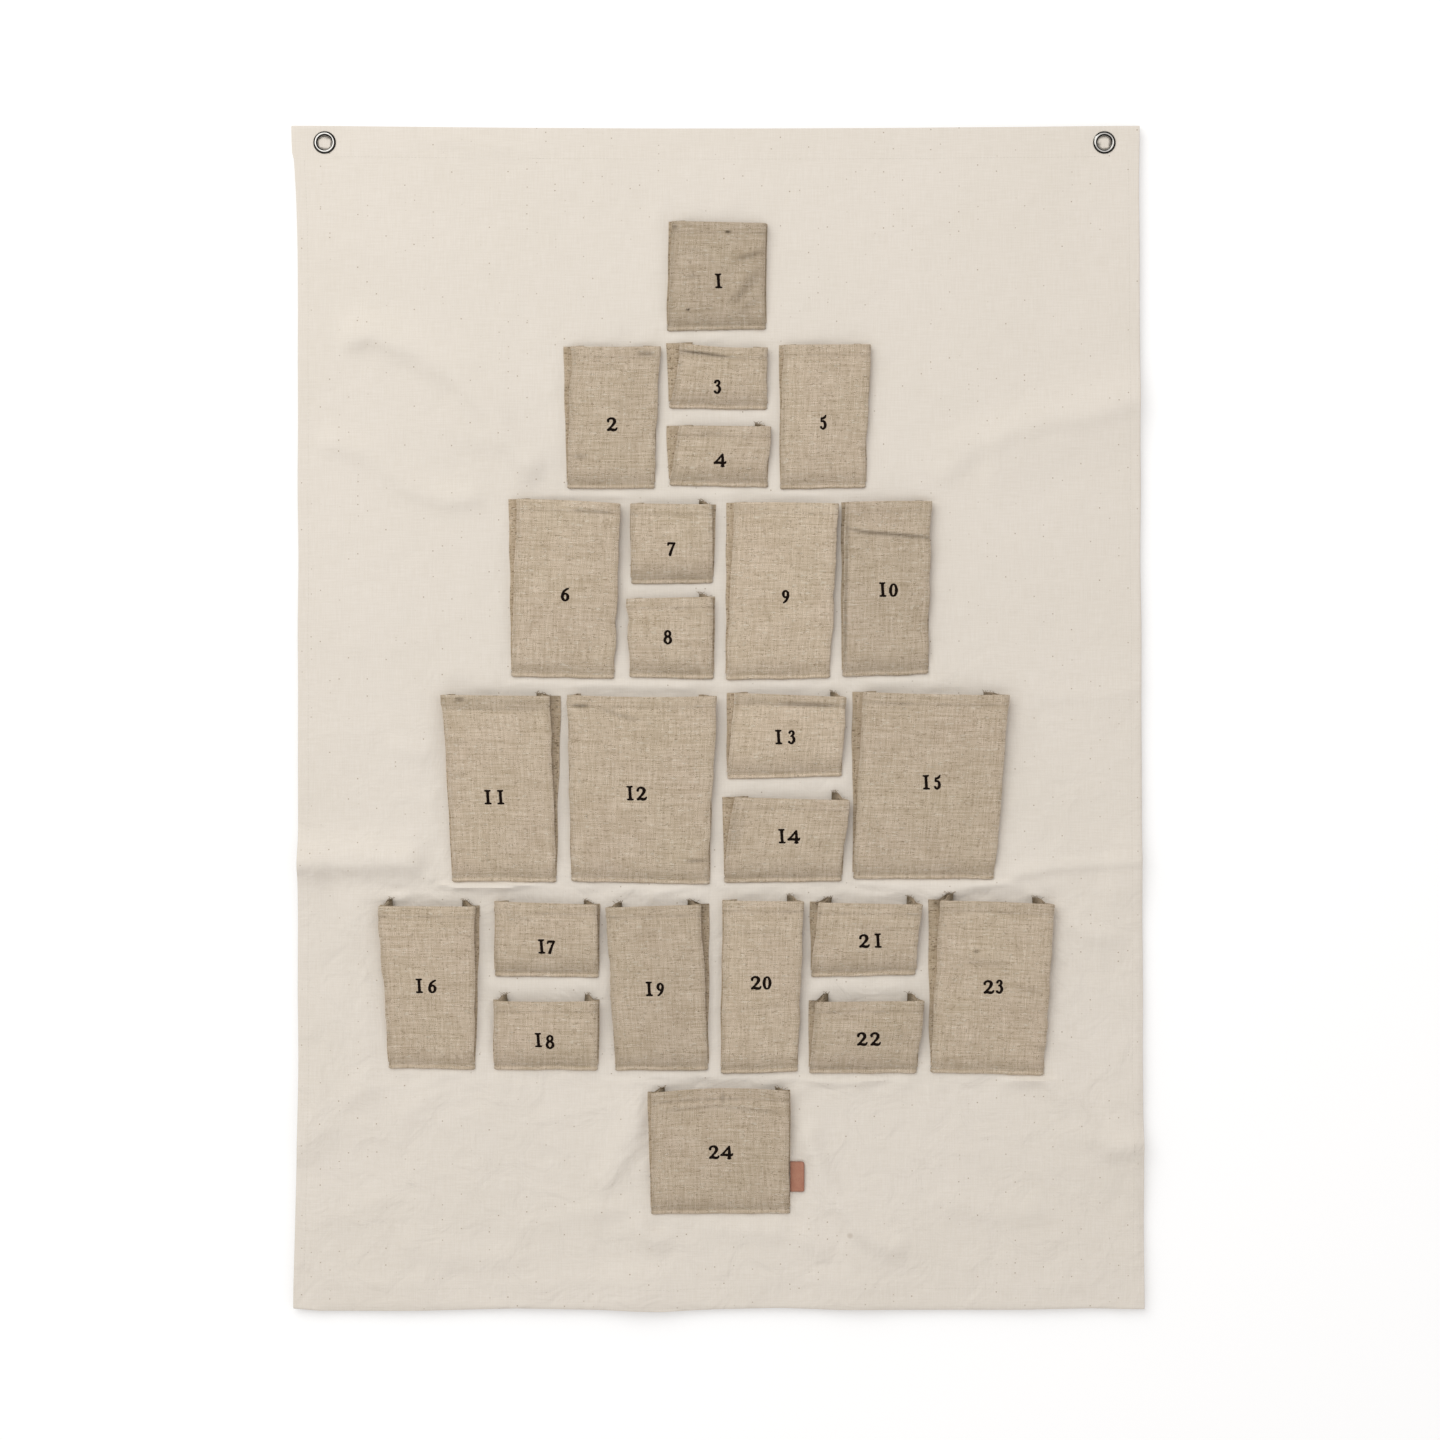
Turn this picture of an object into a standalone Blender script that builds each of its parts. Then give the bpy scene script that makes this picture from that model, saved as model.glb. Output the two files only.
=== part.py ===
"""A hanging advent calendar: a cotton wall cloth on two eyelets, with twenty-four linen pockets sewn to it in
the shape of a fir tree. Metres, +Z up, front towards -Y. The origin lies on the wall, midway between the two
eyelets. Every pocket's front opens about its bottom seam, and its pleated sides fan out with it."""

import math

import bmesh
import bpy
from mathutils import Matrix, Vector

CLEARANCE = 0.0003        # between pieces that lie against each other

# The wall cloth: unbleached cotton, its four edges turned over to the back
CLOTH_WIDTH = 0.8577
CLOTH_HEIGHT = 1.200
CLOTH_THICKNESS = 0.0010
TOP_HEM = 0.030
SIDE_HEM = 0.012
HEM_EDGE = 0.0015         # the run in which a hem's edge eases into the single cloth
TOP_SAG = 0.003           # between the eyelets
SIDE_DRAW = 0.0045        # how far the pockets' weight draws the left edge in
FOOT_SPREAD = 0.0055      # how far the right edge drifts out by its foot
DRAW_TOP_SHARE = 0.12     # of the height, over which the left edge is drawn in
DRAW_FOOT_SHARE = 0.18    # of the height, over which it spreads again
CLOTH_CELL = 0.044        # the grid that carries the cloth's soft folds
FOLD_RISE = 0.005
FOLD_HALF_WIDTH = 0.055
FOLD_EASE = 0.022         # the run in which the cloth eases from flat into a fold

# The eyelets: a nickel-plated tube with a domed flange in front, its back end rolled over a loose washer
EYELET_INSET_TOP = 0.0172
EYELET_INSET_LEFT = 0.0316
EYELET_INSET_RIGHT = 0.0351
EYELET_BORE = 0.0132
EYELET_FLANGE = 0.0226
BARREL_WALL = 0.0006
FLANGE_DOME = 0.0013
WASHER_DIAMETER = 0.0218
WASHER_THICKNESS = 0.0009
LIP_FLARE = 0.0009
EYELET_SIDES = 24
DOME_SHARES = ((0.75, 0.9), (0.45, 1.0), (0.15, 0.88))     # of the flange's width, and of its dome
TURNED_EDGE_ANGLE = math.radians(35)

# The pockets: linen, their fronts standing off the cloth on folded gussets
SIDE_MARGIN = 0.0966      # from the cloth's side to the widest row
TOP_MARGIN = 0.0989       # from the cloth's top to the first mouth
FOOT_MARGIN = 0.0966      # from the last seam to the cloth's foot
ROW_GAP = 0.0179
COLUMN_GAP = 0.0142
STACK_GAP = 0.0200        # between the two small pockets of one column
STRAY = 0.010             # the unit of the soft pockets' lean and slump
LINEN_THICKNESS = 0.0009
RIM_HEIGHT = 0.0035       # the rolled and stitched bottom edge
RIM_DEPTH = 0.0030
RIM_EDGE = 0.0010
MOUTH_HEM = 0.0110
HEM_PROUD = 0.0005
MOUTH_OPENING = 0.0100    # how far the mouth stands open at rest
BELLY = 0.0025
GUSSET_THICKNESS = 0.0008
GUSSET_FOLD = 0.0125      # the depth of a gusset's pleat, half its cloth's width
RUN_HEIGHT = 0.0040       # the part of a gusset's strip that packs the bottom seam
RUN_LAP_SHARE = 0.35      # of a pleat's depth, by which that run reaches into each pleat
EAR_RISE = 0.0060         # how far the tallest pleat tops stand above the mouth
FRONT_COLUMNS = 4

# The leather tag beside the last pocket
TAG_WIDTH = 0.0145
TAG_LENGTH = 0.0310
TAG_THICKNESS = 0.0015
TAG_CORNER = 0.0035
TAG_LIFT = 0.0220         # from the last pocket's seam to the tag's lower edge
TAG_SETBACK = 0.0008      # from the pocket's side seam to the tag's sewn edge
TAG_CORNER_STEPS = 4

# Soft folds of the wall cloth: both ends as shares of its width from the left and of its height from the
# top, then the fold's rise as a share of FOLD_RISE
FOLD_SHARES = (
    (0.00, 0.631, 0.16, 0.634, 1.0),
    (0.895, 0.642, 1.00, 0.628, 0.6),
    (0.79, 0.291, 1.00, 0.232, 0.7),
    (0.126, 0.194, 0.268, 0.304, 0.5),
    (0.02, 0.841, 0.126, 0.803, 0.6),
    (0.895, 0.811, 1.00, 0.883, 0.6),
    (0.41, 1.00, 0.387, 0.934, 0.8),
    (0.67, 1.00, 0.635, 0.934, 0.5),
)

# The tree's rows from the top. A row's width is a share of the widest row's, its height a share of all the
# rows' heights together, the gap above it a share of ROW_GAP, and its place right of the middle a share of
# COLUMN_GAP. Its columns give the pockets from the top down and a share of the row's cloth, and the gaps
# between them are shares of COLUMN_GAP.
TREE_ROWS = (
    {"width_share": 0.151, "height_share": 0.119, "gap_share": 0.0, "offset_share": 0.0,
     "column_shares": (((1,), 1.0),), "column_gap_shares": ()},
    {"width_share": 0.457, "height_share": 0.157, "gap_share": 0.89, "offset_share": 0.0,
     "column_shares": (((2,), 0.323), ((3, 4), 0.361), ((5,), 0.316)), "column_gap_shares": (1.03, 0.89)},
    {"width_share": 0.637, "height_share": 0.194, "gap_share": 0.82, "offset_share": 0.24,
     "column_shares": (((6,), 0.274), ((7, 8), 0.220), ((9,), 0.277), ((10,), 0.229)),
     "column_gap_shares": (1.11, 0.87, 0.86)},
    {"width_share": 0.828, "height_share": 0.206, "gap_share": 1.02, "offset_share": 0.47,
     "column_shares": (((11,), 0.209), ((12,), 0.277), ((13, 14), 0.233), ((15,), 0.281)),
     "column_gap_shares": (1.04, 1.11, 0.79)},
    {"width_share": 1.0, "height_share": 0.187, "gap_share": 1.22, "offset_share": 0.0,
     "column_shares": (((16,), 0.149), ((17, 18), 0.179), ((19,), 0.160), ((20,), 0.133),
                       ((21, 22), 0.183), ((23,), 0.196)),
     "column_gap_shares": (1.36, 1.18, 0.89, 0.86, 0.98)},
    {"width_share": 0.212, "height_share": 0.137, "gap_share": 1.05, "offset_share": 0.27,
     "column_shares": (((24,), 1.0),), "column_gap_shares": ()},
)

# How each soft pocket strays from that grid, as shares of STRAY: the top of its back's left side, of its
# front's left side, of its front's right side and of its back's right side, each to the right of the seam
# below it, then its mouth's and its seam's place above their lines. The last share is of EAR_RISE.
STRAY_SHARES = {
    1: (0.1, 0.6, 0.0, 0.1, 0.0, 0.0, 0.0),
    2: (-0.4, 0.5, 0.5, 0.1, -0.2, -0.1, 0.2),
    3: (-0.3, 1.0, 0.1, -0.1, -0.1, -0.1, 0.2),
    4: (-0.3, 1.0, 0.3, 0.0, 0.1, 0.1, 0.3),
    5: (-0.1, 0.3, 0.4, 0.0, 0.0, 0.0, 0.2),
    6: (-0.2, 0.7, 0.6, -0.1, 0.0, 0.0, 0.2),
    7: (-0.1, -0.2, -0.1, 0.3, -0.2, -0.3, 0.5),
    8: (0.1, -0.2, -0.2, 0.1, 0.1, -0.1, 0.4),
    9: (0.1, 1.0, 0.8, 0.1, -0.1, -0.2, 0.2),
    10: (-0.1, 0.3, 0.3, -0.1, 0.0, 0.2, 0.1),
    11: (-0.9, -1.2, -0.7, 0.5, 0.0, 0.0, 0.3),
    12: (-0.3, -0.4, 0.6, 0.2, 0.0, -0.1, 0.2),
    13: (0.0, 0.8, 0.4, 0.1, 0.0, 0.0, 0.5),
    14: (-0.1, 1.1, 0.7, 0.3, 0.0, 0.0, 0.8),
    15: (-0.1, 1.0, 1.4, 0.2, 0.2, 0.3, 0.3),
    16: (-0.9, -1.1, -0.1, 0.5, -0.3, 0.3, 1.0),
    17: (0.0, 0.0, -0.2, 0.1, 0.0, 0.0, 0.6),
    18: (0.0, -0.1, 0.2, 0.1, -0.3, 0.2, 0.9),
    19: (-0.6, -0.9, -0.8, 0.2, -0.2, 0.1, 0.7),
    20: (0.2, 0.3, 0.6, 0.2, 0.3, -0.2, 0.8),
    21: (-0.1, 0.8, 0.7, 0.4, 0.0, 0.0, 1.0),
    22: (0.0, 0.7, 0.7, 0.3, -0.2, -0.2, 1.0),
    23: (-0.2, 1.0, 0.9, 0.2, 0.1, -0.3, 1.0),
    24: (-0.3, 0.2, 0.0, 0.0, 0.0, 0.0, 0.4),
}

# Where the front of a pocket is given a bend between its rim and its hem, as shares of its height
BODY_SHARES = (0.35,)

# Places that follow from the sizes above
HANG_SPAN = CLOTH_WIDTH - EYELET_INSET_LEFT - EYELET_INSET_RIGHT
CLOTH_LEFT = -HANG_SPAN / 2 - EYELET_INSET_LEFT
CLOTH_RIGHT = HANG_SPAN / 2 + EYELET_INSET_RIGHT
CLOTH_TOP = EYELET_INSET_TOP
CLOTH_FOOT = CLOTH_TOP - CLOTH_HEIGHT
HEM_BACK_Y = -WASHER_THICKNESS - CLEARANCE
FACE_Y = HEM_BACK_Y - CLOTH_THICKNESS - CLOTH_THICKNESS
BARREL_RADIUS = EYELET_BORE / 2 + BARREL_WALL


def ease(share):
    """Runs from 0 to 1 with level ends."""
    share = min(max(share, 0), 1)
    return share * share * (3 - 2 * share)


def between(low, high, share):
    return low + (high - low) * share


class Pocket:
    """One pocket's place on the cloth."""

    def __init__(self, number, seam_left, seam_right, seam_z, mouth_z):
        back_left, front_left, front_right, back_right, mouth, seam, ear = STRAY_SHARES[number]
        self.name = f"pocket_{number:02d}"
        self.seam_left = seam_left
        self.seam_right = seam_right
        self.seam_z = seam_z + STRAY * seam
        self.height = mouth_z + STRAY * mouth - self.seam_z
        self.back_lean = (STRAY * back_left, STRAY * back_right)
        self.front_lean = (STRAY * front_left, STRAY * front_right)
        self.ear = EAR_RISE * ear
        rim_top = RIM_HEIGHT + RIM_EDGE
        self.bends = [rim_top] + [self.height * share for share in BODY_SHARES]
        self.bends += [self.height - MOUTH_HEM, self.height]

    def stand_off(self, height):
        """How far the front's inner face stands off the cloth at its two sides. It is straight between the
        heights at which the front bends."""
        if height <= RIM_HEIGHT:
            return CLEARANCE
        for low, high in zip(self.bends, self.bends[1:]):
            if height <= high:
                return between(self.bend_depth(low), self.bend_depth(high), (height - low) / (high - low))
        return MOUTH_OPENING

    def bend_depth(self, height):
        return between(RIM_DEPTH, MOUTH_OPENING, math.sin(height / self.height * math.pi / 2))

    def back_x(self, side, height):
        """The line where a gusset is sewn to the cloth. Side 0 is the left one."""
        seam = (self.seam_left, self.seam_right)[side]
        return seam + self.back_lean[side] * height / self.height

    def front_x(self, side, height):
        seam = (self.seam_left, self.seam_right)[side]
        return seam + self.front_lean[side] * height / self.height

    def pleat_x(self, side, height):
        """The inner fold of a gusset, which points into the pocket."""
        ends = (self.back_x(side, height), self.front_x(side, height))
        return max(ends) + GUSSET_FOLD if side == 0 else min(ends) - GUSSET_FOLD


def lay_out_pockets():
    """Places the rows down the cloth and the columns across each row."""
    tree_left = CLOTH_LEFT + SIDE_MARGIN
    tree_right = CLOTH_RIGHT - SIDE_MARGIN
    gaps = sum(row["gap_share"] for row in TREE_ROWS) * ROW_GAP
    rows_height = CLOTH_HEIGHT - TOP_MARGIN - FOOT_MARGIN - gaps
    heights = sum(row["height_share"] for row in TREE_ROWS)
    pockets = []
    seam_z = CLOTH_TOP - TOP_MARGIN
    for row in TREE_ROWS:
        mouth_z = seam_z - ROW_GAP * row["gap_share"]
        seam_z = mouth_z - rows_height * row["height_share"] / heights
        width = (tree_right - tree_left) * row["width_share"]
        left = (tree_left + tree_right - width) / 2 + COLUMN_GAP * row["offset_share"]
        cloth = width - COLUMN_GAP * sum(row["column_gap_shares"])
        weights = sum(share for numbers, share in row["column_shares"])
        for place, (numbers, share) in enumerate(row["column_shares"]):
            right = left + cloth * share / weights
            pocket_height = (mouth_z - seam_z - STACK_GAP * (len(numbers) - 1)) / len(numbers)
            top = mouth_z
            for number in numbers:
                pockets.append(Pocket(number, left, right, top - pocket_height, top))
                top -= pocket_height + STACK_GAP
            if place < len(row["column_gap_shares"]):
                left = right + COLUMN_GAP * row["column_gap_shares"][place]
    return pockets


def clear_scene():
    for thing in list(bpy.data.objects):
        bpy.data.objects.remove(thing, do_unlink=True)


def linear(channel):
    return channel / 12.92 if channel <= 0.04045 else ((channel + 0.055) / 1.055) ** 2.4


def make_material(name, colour, roughness, metallic=0.0):
    """A Principled material from an sRGB hex colour."""
    material = bpy.data.materials.new(name)
    material.use_nodes = True
    shader = material.node_tree.nodes["Principled BSDF"]
    channels = [linear(int(colour[place:place + 2], 16) / 255) for place in (1, 3, 5)]
    shader.inputs["Base Color"].default_value = (*channels, 1)
    shader.inputs["Roughness"].default_value = roughness
    shader.inputs["Metallic"].default_value = metallic
    material.diffuse_color = (*channels, 1)
    return material


def add_sheet(shape, levels):
    """Adds one closed solid to a bmesh. Each level, from the bottom up, is the points of the sheet's outer
    face and those of its inner face, in the same order."""
    rows = []
    for outer, inner in levels:
        rows.append([[shape.verts.new(point) for point in face] for face in (outer, inner)])
    last = len(rows[0][0]) - 1
    for (low_outer, low_inner), (high_outer, high_inner) in zip(rows, rows[1:]):
        for place in range(last):
            after = place + 1
            shape.faces.new((low_outer[place], low_outer[after], high_outer[after], high_outer[place]))
            shape.faces.new((low_inner[after], low_inner[place], high_inner[place], high_inner[after]))
        shape.faces.new((low_inner[0], low_outer[0], high_outer[0], high_inner[0]))
        shape.faces.new((low_outer[last], low_inner[last], high_inner[last], high_outer[last]))
    for outer, inner in (rows[0], rows[-1]):
        for place in range(last):
            after = place + 1
            shape.faces.new((outer[place], outer[after], inner[after], inner[place]))


def finish_object(name, shape, material, origin=Vector()):
    """Turns a bmesh into a named object whose origin is where asked and whose shape stays in place."""
    bmesh.ops.recalc_face_normals(shape, faces=shape.faces)
    mesh = bpy.data.meshes.new(name)
    shape.to_mesh(mesh)
    shape.free()
    mesh.transform(Matrix.Translation(-origin))
    mesh.materials.append(material)
    item = bpy.data.objects.new(name, mesh)
    item.location = origin
    bpy.context.scene.collection.objects.link(item)
    return item


def side_edges(drop):
    """The cloth's left and right edges at a share of its height below the top."""
    draw = SIDE_DRAW * ease(drop / DRAW_TOP_SHARE) * ease((1 - drop) / DRAW_FOOT_SHARE)
    return CLOTH_LEFT + draw, CLOTH_RIGHT + FOOT_SPREAD * drop


def lies_flat(x, z, pockets):
    """0 where a pocket holds the cloth flat, up to 1 well away from the pockets."""
    nearest = math.inf
    for pocket in pockets:
        left = min(pocket.back_x(0, pocket.height), pocket.front_x(0, pocket.height), pocket.seam_left)
        right = max(pocket.back_x(1, pocket.height), pocket.front_x(1, pocket.height), pocket.seam_right)
        top = pocket.seam_z + pocket.height + pocket.ear
        across = max(left - x, x - right, 0)
        along = max(pocket.seam_z - z, z - top, 0)
        nearest = min(nearest, max(across, along))
    return ease((nearest - CLOTH_CELL) / FOLD_EASE)


def fold_height(x, z):
    """How far the cloth's soft folds stand off its flat, at one point."""
    height = 0
    for start_x, start_z, end_x, end_z, rise in FOLD_SHARES:
        start = Vector((CLOTH_LEFT + CLOTH_WIDTH * start_x, CLOTH_TOP - CLOTH_HEIGHT * start_z))
        end = Vector((CLOTH_LEFT + CLOTH_WIDTH * end_x, CLOTH_TOP - CLOTH_HEIGHT * end_z))
        run = end - start
        share = min(max((Vector((x, z)) - start).dot(run) / run.length_squared, 0), 1)
        away = (Vector((x, z)) - start - run * share).length
        height = max(height, FOLD_RISE * rise * ease(1 - away / FOLD_HALF_WIDTH))
    return height


def stations(low, high, hem_low, hem_high):
    """Places from one edge to the other: the hems' edges, and an even grid between them."""
    inner_low = low + hem_low + HEM_EDGE
    inner_high = high - hem_high - HEM_EDGE
    count = round((inner_high - inner_low) / CLOTH_CELL)
    grid = [between(inner_low, inner_high, step / count) for step in range(count + 1)]
    return [low, low + hem_low] + grid + [high - hem_high, high]


def make_wall_cloth(pockets, material):
    """A gridded sheet, twice as thick where its edges are turned over to the back."""
    across_shares = [place / CLOTH_WIDTH for place in stations(0, CLOTH_WIDTH, SIDE_HEM, SIDE_HEM)]
    levels = []
    upright = stations(CLOTH_FOOT, CLOTH_TOP, SIDE_HEM, TOP_HEM)
    for row, level in enumerate(upright):
        drop = (CLOTH_TOP - level) / CLOTH_HEIGHT
        left, right = side_edges(drop)
        outer = []
        inner = []
        for column, share in enumerate(across_shares):
            x = between(left, right, share)
            z = level - TOP_SAG * (1 - drop) * math.sin(math.pi * share)
            y = FACE_Y - fold_height(x, z) * lies_flat(x, z, pockets)
            hemmed = row < 2 or row >= len(upright) - 2 or column < 2 or column >= len(across_shares) - 2
            layers = 2 if hemmed else 1
            outer.append((x, y, z))
            inner.append((x, y + CLOTH_THICKNESS * layers, z))
        levels.append((outer, inner))
    shape = bmesh.new()
    add_sheet(shape, levels)
    return finish_object("wall_cloth", shape, material)


def punch_eyelet_holes(cloth):
    """Cuts the two round holes that the eyelets' tubes pass through."""
    for side, x in eyelet_places():
        bpy.ops.mesh.primitive_cylinder_add(
            vertices=EYELET_SIDES, radius=BARREL_RADIUS + CLEARANCE, depth=TOP_HEM,
            location=(x, FACE_Y, 0), rotation=(math.pi / 2, 0, 0))
        cutter = bpy.context.object
        cutter.name = f"{side}_hole_cutter"
        cutter.hide_render = True
        cutter.display_type = "WIRE"
        cut = cloth.modifiers.new(f"{side}_hole", "BOOLEAN")
        cut.operation = "DIFFERENCE"
        cut.object = cutter


def eyelet_places():
    return (("left", -HANG_SPAN / 2), ("right", HANG_SPAN / 2))


def turn_ring(name, profile, x, material):
    """Turns a closed profile of radius and depth points about an eyelet's axis."""
    shape = bmesh.new()
    points = [shape.verts.new((radius, depth, 0)) for radius, depth in profile]
    edges = [shape.edges.new(pair) for pair in zip(points, points[1:] + points[:1])]
    bmesh.ops.spin(shape, geom=points + edges, cent=(0, 0, 0), axis=(0, 1, 0), angle=math.tau,
                   steps=EYELET_SIDES, use_merge=True)
    bmesh.ops.recalc_face_normals(shape, faces=shape.faces)
    mesh = bpy.data.meshes.new(name)
    shape.to_mesh(mesh)
    shape.free()
    mesh.shade_smooth()
    mesh.set_sharp_from_angle(angle=TURNED_EDGE_ANGLE)
    mesh.materials.append(material)
    ring = bpy.data.objects.new(name, mesh)
    ring.location = (x, 0, 0)
    bpy.context.scene.collection.objects.link(ring)
    return ring


def make_eyelet(side, x, material):
    """The tube, its domed front flange and its rolled back lip, in one turned piece."""
    bore = EYELET_BORE / 2
    rim = EYELET_FLANGE / 2
    flange_back = FACE_Y - CLEARANCE
    crown = flange_back - FLANGE_DOME
    lip_back = -BARREL_WALL / 2
    profile = (
        (bore, crown + BARREL_WALL),
        (bore, -WASHER_THICKNESS),
        (bore + LIP_FLARE, lip_back),
        (BARREL_RADIUS + LIP_FLARE, lip_back),
        (BARREL_RADIUS, -WASHER_THICKNESS),
        (BARREL_RADIUS, flange_back),
        (rim, flange_back),
        (rim, flange_back - BARREL_WALL),
        *((between(bore, rim, out), between(flange_back, crown, rise)) for out, rise in DOME_SHARES),
    )
    return turn_ring(f"{side}_eyelet", profile, x, material)


def make_washer(side, x, material):
    """The flat ring behind the cloth, countersunk where the tube's lip is rolled over it."""
    profile = (
        (BARREL_RADIUS + CLEARANCE, -WASHER_THICKNESS),
        (WASHER_DIAMETER / 2, -WASHER_THICKNESS),
        (WASHER_DIAMETER / 2, 0),
        (BARREL_RADIUS + LIP_FLARE + BARREL_WALL, 0),
    )
    return turn_ring(f"{side}_washer", profile, x, material)


def make_pocket_front(pocket, material):
    """The linen front: a rolled rim sewn down at the bottom, a soft belly, and a turned hem at the mouth."""
    hem = pocket.height - MOUTH_HEM
    levels = []
    for height in sorted([0, RIM_HEIGHT, hem + RIM_EDGE] + pocket.bends):
        stand_off = pocket.stand_off(height)
        rim = height <= RIM_HEIGHT
        thickness = RIM_DEPTH + LINEN_THICKNESS if rim else LINEN_THICKNESS
        if height > hem:
            thickness += HEM_PROUD
        swell = 0 if rim else BELLY * math.sin(math.pi * height / pocket.height)
        outer = []
        inner = []
        for column in range(FRONT_COLUMNS + 1):
            share = column / FRONT_COLUMNS
            x = between(pocket.front_x(0, height), pocket.front_x(1, height), share)
            depth = stand_off + swell * math.sin(math.pi * share)
            z = pocket.seam_z + height
            outer.append((x, FACE_Y - depth - thickness, z))
            inner.append((x, FACE_Y - depth, z))
        levels.append((outer, inner))
    shape = bmesh.new()
    add_sheet(shape, levels)
    middle = (pocket.seam_left + pocket.seam_right) / 2
    return finish_object(f"{pocket.name}_front", shape, material, hinge_point(pocket, middle))


def hinge_point(pocket, x):
    """A point on the line that a pocket's front opens about, its bottom seam."""
    return Vector((x, FACE_Y - CLEARANCE, pocket.seam_z))


def make_pocket_gusset(pocket, material):
    """One strip of linen round both sides and the bottom. Seen from above, each side is a V whose fold
    points into the pocket, and the bottom run packs the seam."""
    shape = bmesh.new()
    floor = RIM_HEIGHT + RIM_EDGE + CLEARANCE
    low = floor + RIM_EDGE
    half = GUSSET_THICKNESS / 2
    for side in (0, 1):
        levels = []
        for height in [low] + pocket.bends[1:] + [pocket.height + pocket.ear]:
            back_x = pocket.back_x(side, height)
            front_x = pocket.front_x(side, height)
            fold_x = pocket.pleat_x(side, height)
            back = CLEARANCE + half
            front = pocket.stand_off(height) - CLEARANCE - half
            middle = (back + front) / 2
            hollow = (middle - back - half) / (middle - back + half)
            notch_x = between((back_x + front_x) / 2, fold_x, hollow)
            z = pocket.seam_z + height
            outer = ((back_x, back - half), (fold_x, middle), (front_x, front + half))
            inner = ((back_x, back + half), (notch_x, middle), (front_x, front - half))
            levels.append(tuple([(x, FACE_Y - depth, z) for x, depth in face] for face in (outer, inner)))
        add_sheet(shape, levels)
    gusset = finish_object(f"{pocket.name}_gusset", shape, material)
    run = finish_object(f"{pocket.name}_bottom_run", bottom_run(pocket, floor), material)
    run.hide_render = True
    run.display_type = "WIRE"
    join = gusset.modifiers.new("bottom_run", "BOOLEAN")
    join.operation = "UNION"
    join.object = run
    return gusset


def bottom_run(pocket, floor):
    """The part of the strip that packs the bottom seam, its ends inside the two pleats."""
    shape = bmesh.new()
    ends = [between(pocket.pleat_x(side, floor), pocket.front_x(side, floor), RUN_LAP_SHARE)
            for side in (0, 1)]
    depths = (pocket.stand_off(floor) - CLEARANCE, CLEARANCE)
    levels = []
    for height in (floor, floor + RUN_HEIGHT):
        z = pocket.seam_z + height
        levels.append(tuple([(x, FACE_Y - depth, z) for x in ends] for depth in depths))
    add_sheet(shape, levels)
    return shape


def make_tag(pocket, material):
    """A bare strip of leather, sewn in beside the last pocket, its two free corners rounded."""
    root = Vector((pocket.seam_right + TAG_SETBACK, FACE_Y - CLEARANCE - TAG_THICKNESS,
                   pocket.seam_z + TAG_LIFT + TAG_LENGTH / 2))
    outline = [(0, TAG_LENGTH / 2), (0, -TAG_LENGTH / 2)]
    for side, start in ((-1, -math.pi / 2), (1, 0)):
        for step in range(TAG_CORNER_STEPS + 1):
            angle = start + step / TAG_CORNER_STEPS * math.pi / 2
            outline.append((TAG_WIDTH - TAG_CORNER + TAG_CORNER * math.cos(angle),
                            side * (TAG_LENGTH / 2 - TAG_CORNER) + TAG_CORNER * math.sin(angle)))
    shape = bmesh.new()
    face = shape.faces.new([shape.verts.new((x, 0, z)) for x, z in outline])
    grown = bmesh.ops.extrude_face_region(shape, geom=[face])
    raised = [item for item in grown["geom"] if isinstance(item, bmesh.types.BMVert)]
    bmesh.ops.translate(shape, verts=raised, vec=(0, TAG_THICKNESS, 0))
    bmesh.ops.translate(shape, verts=shape.verts, vec=root)
    return finish_object("leather_tag", shape, material, root)


def build():
    clear_scene()
    cotton = make_material("cotton_canvas", "#E3DDD0", 0.9)
    linen = make_material("linen_front", "#B8A892", 0.9)
    pleat_linen = make_material("linen_gusset", "#AD9D86", 0.92)
    nickel = make_material("nickel_plate", "#C4C3BF", 0.22, 1.0)
    back_nickel = make_material("nickel_washer", "#B4B3AF", 0.32, 1.0)
    leather = make_material("tan_leather", "#B17E68", 0.6)
    pockets = lay_out_pockets()
    punch_eyelet_holes(make_wall_cloth(pockets, cotton))
    for side, x in eyelet_places():
        make_eyelet(side, x, nickel)
        make_washer(side, x, back_nickel)
    for pocket in pockets:
        make_pocket_front(pocket, linen)
        make_pocket_gusset(pocket, pleat_linen)
    make_tag(pockets[-1], leather)


build()
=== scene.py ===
from math import pi, radians, tau

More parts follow.
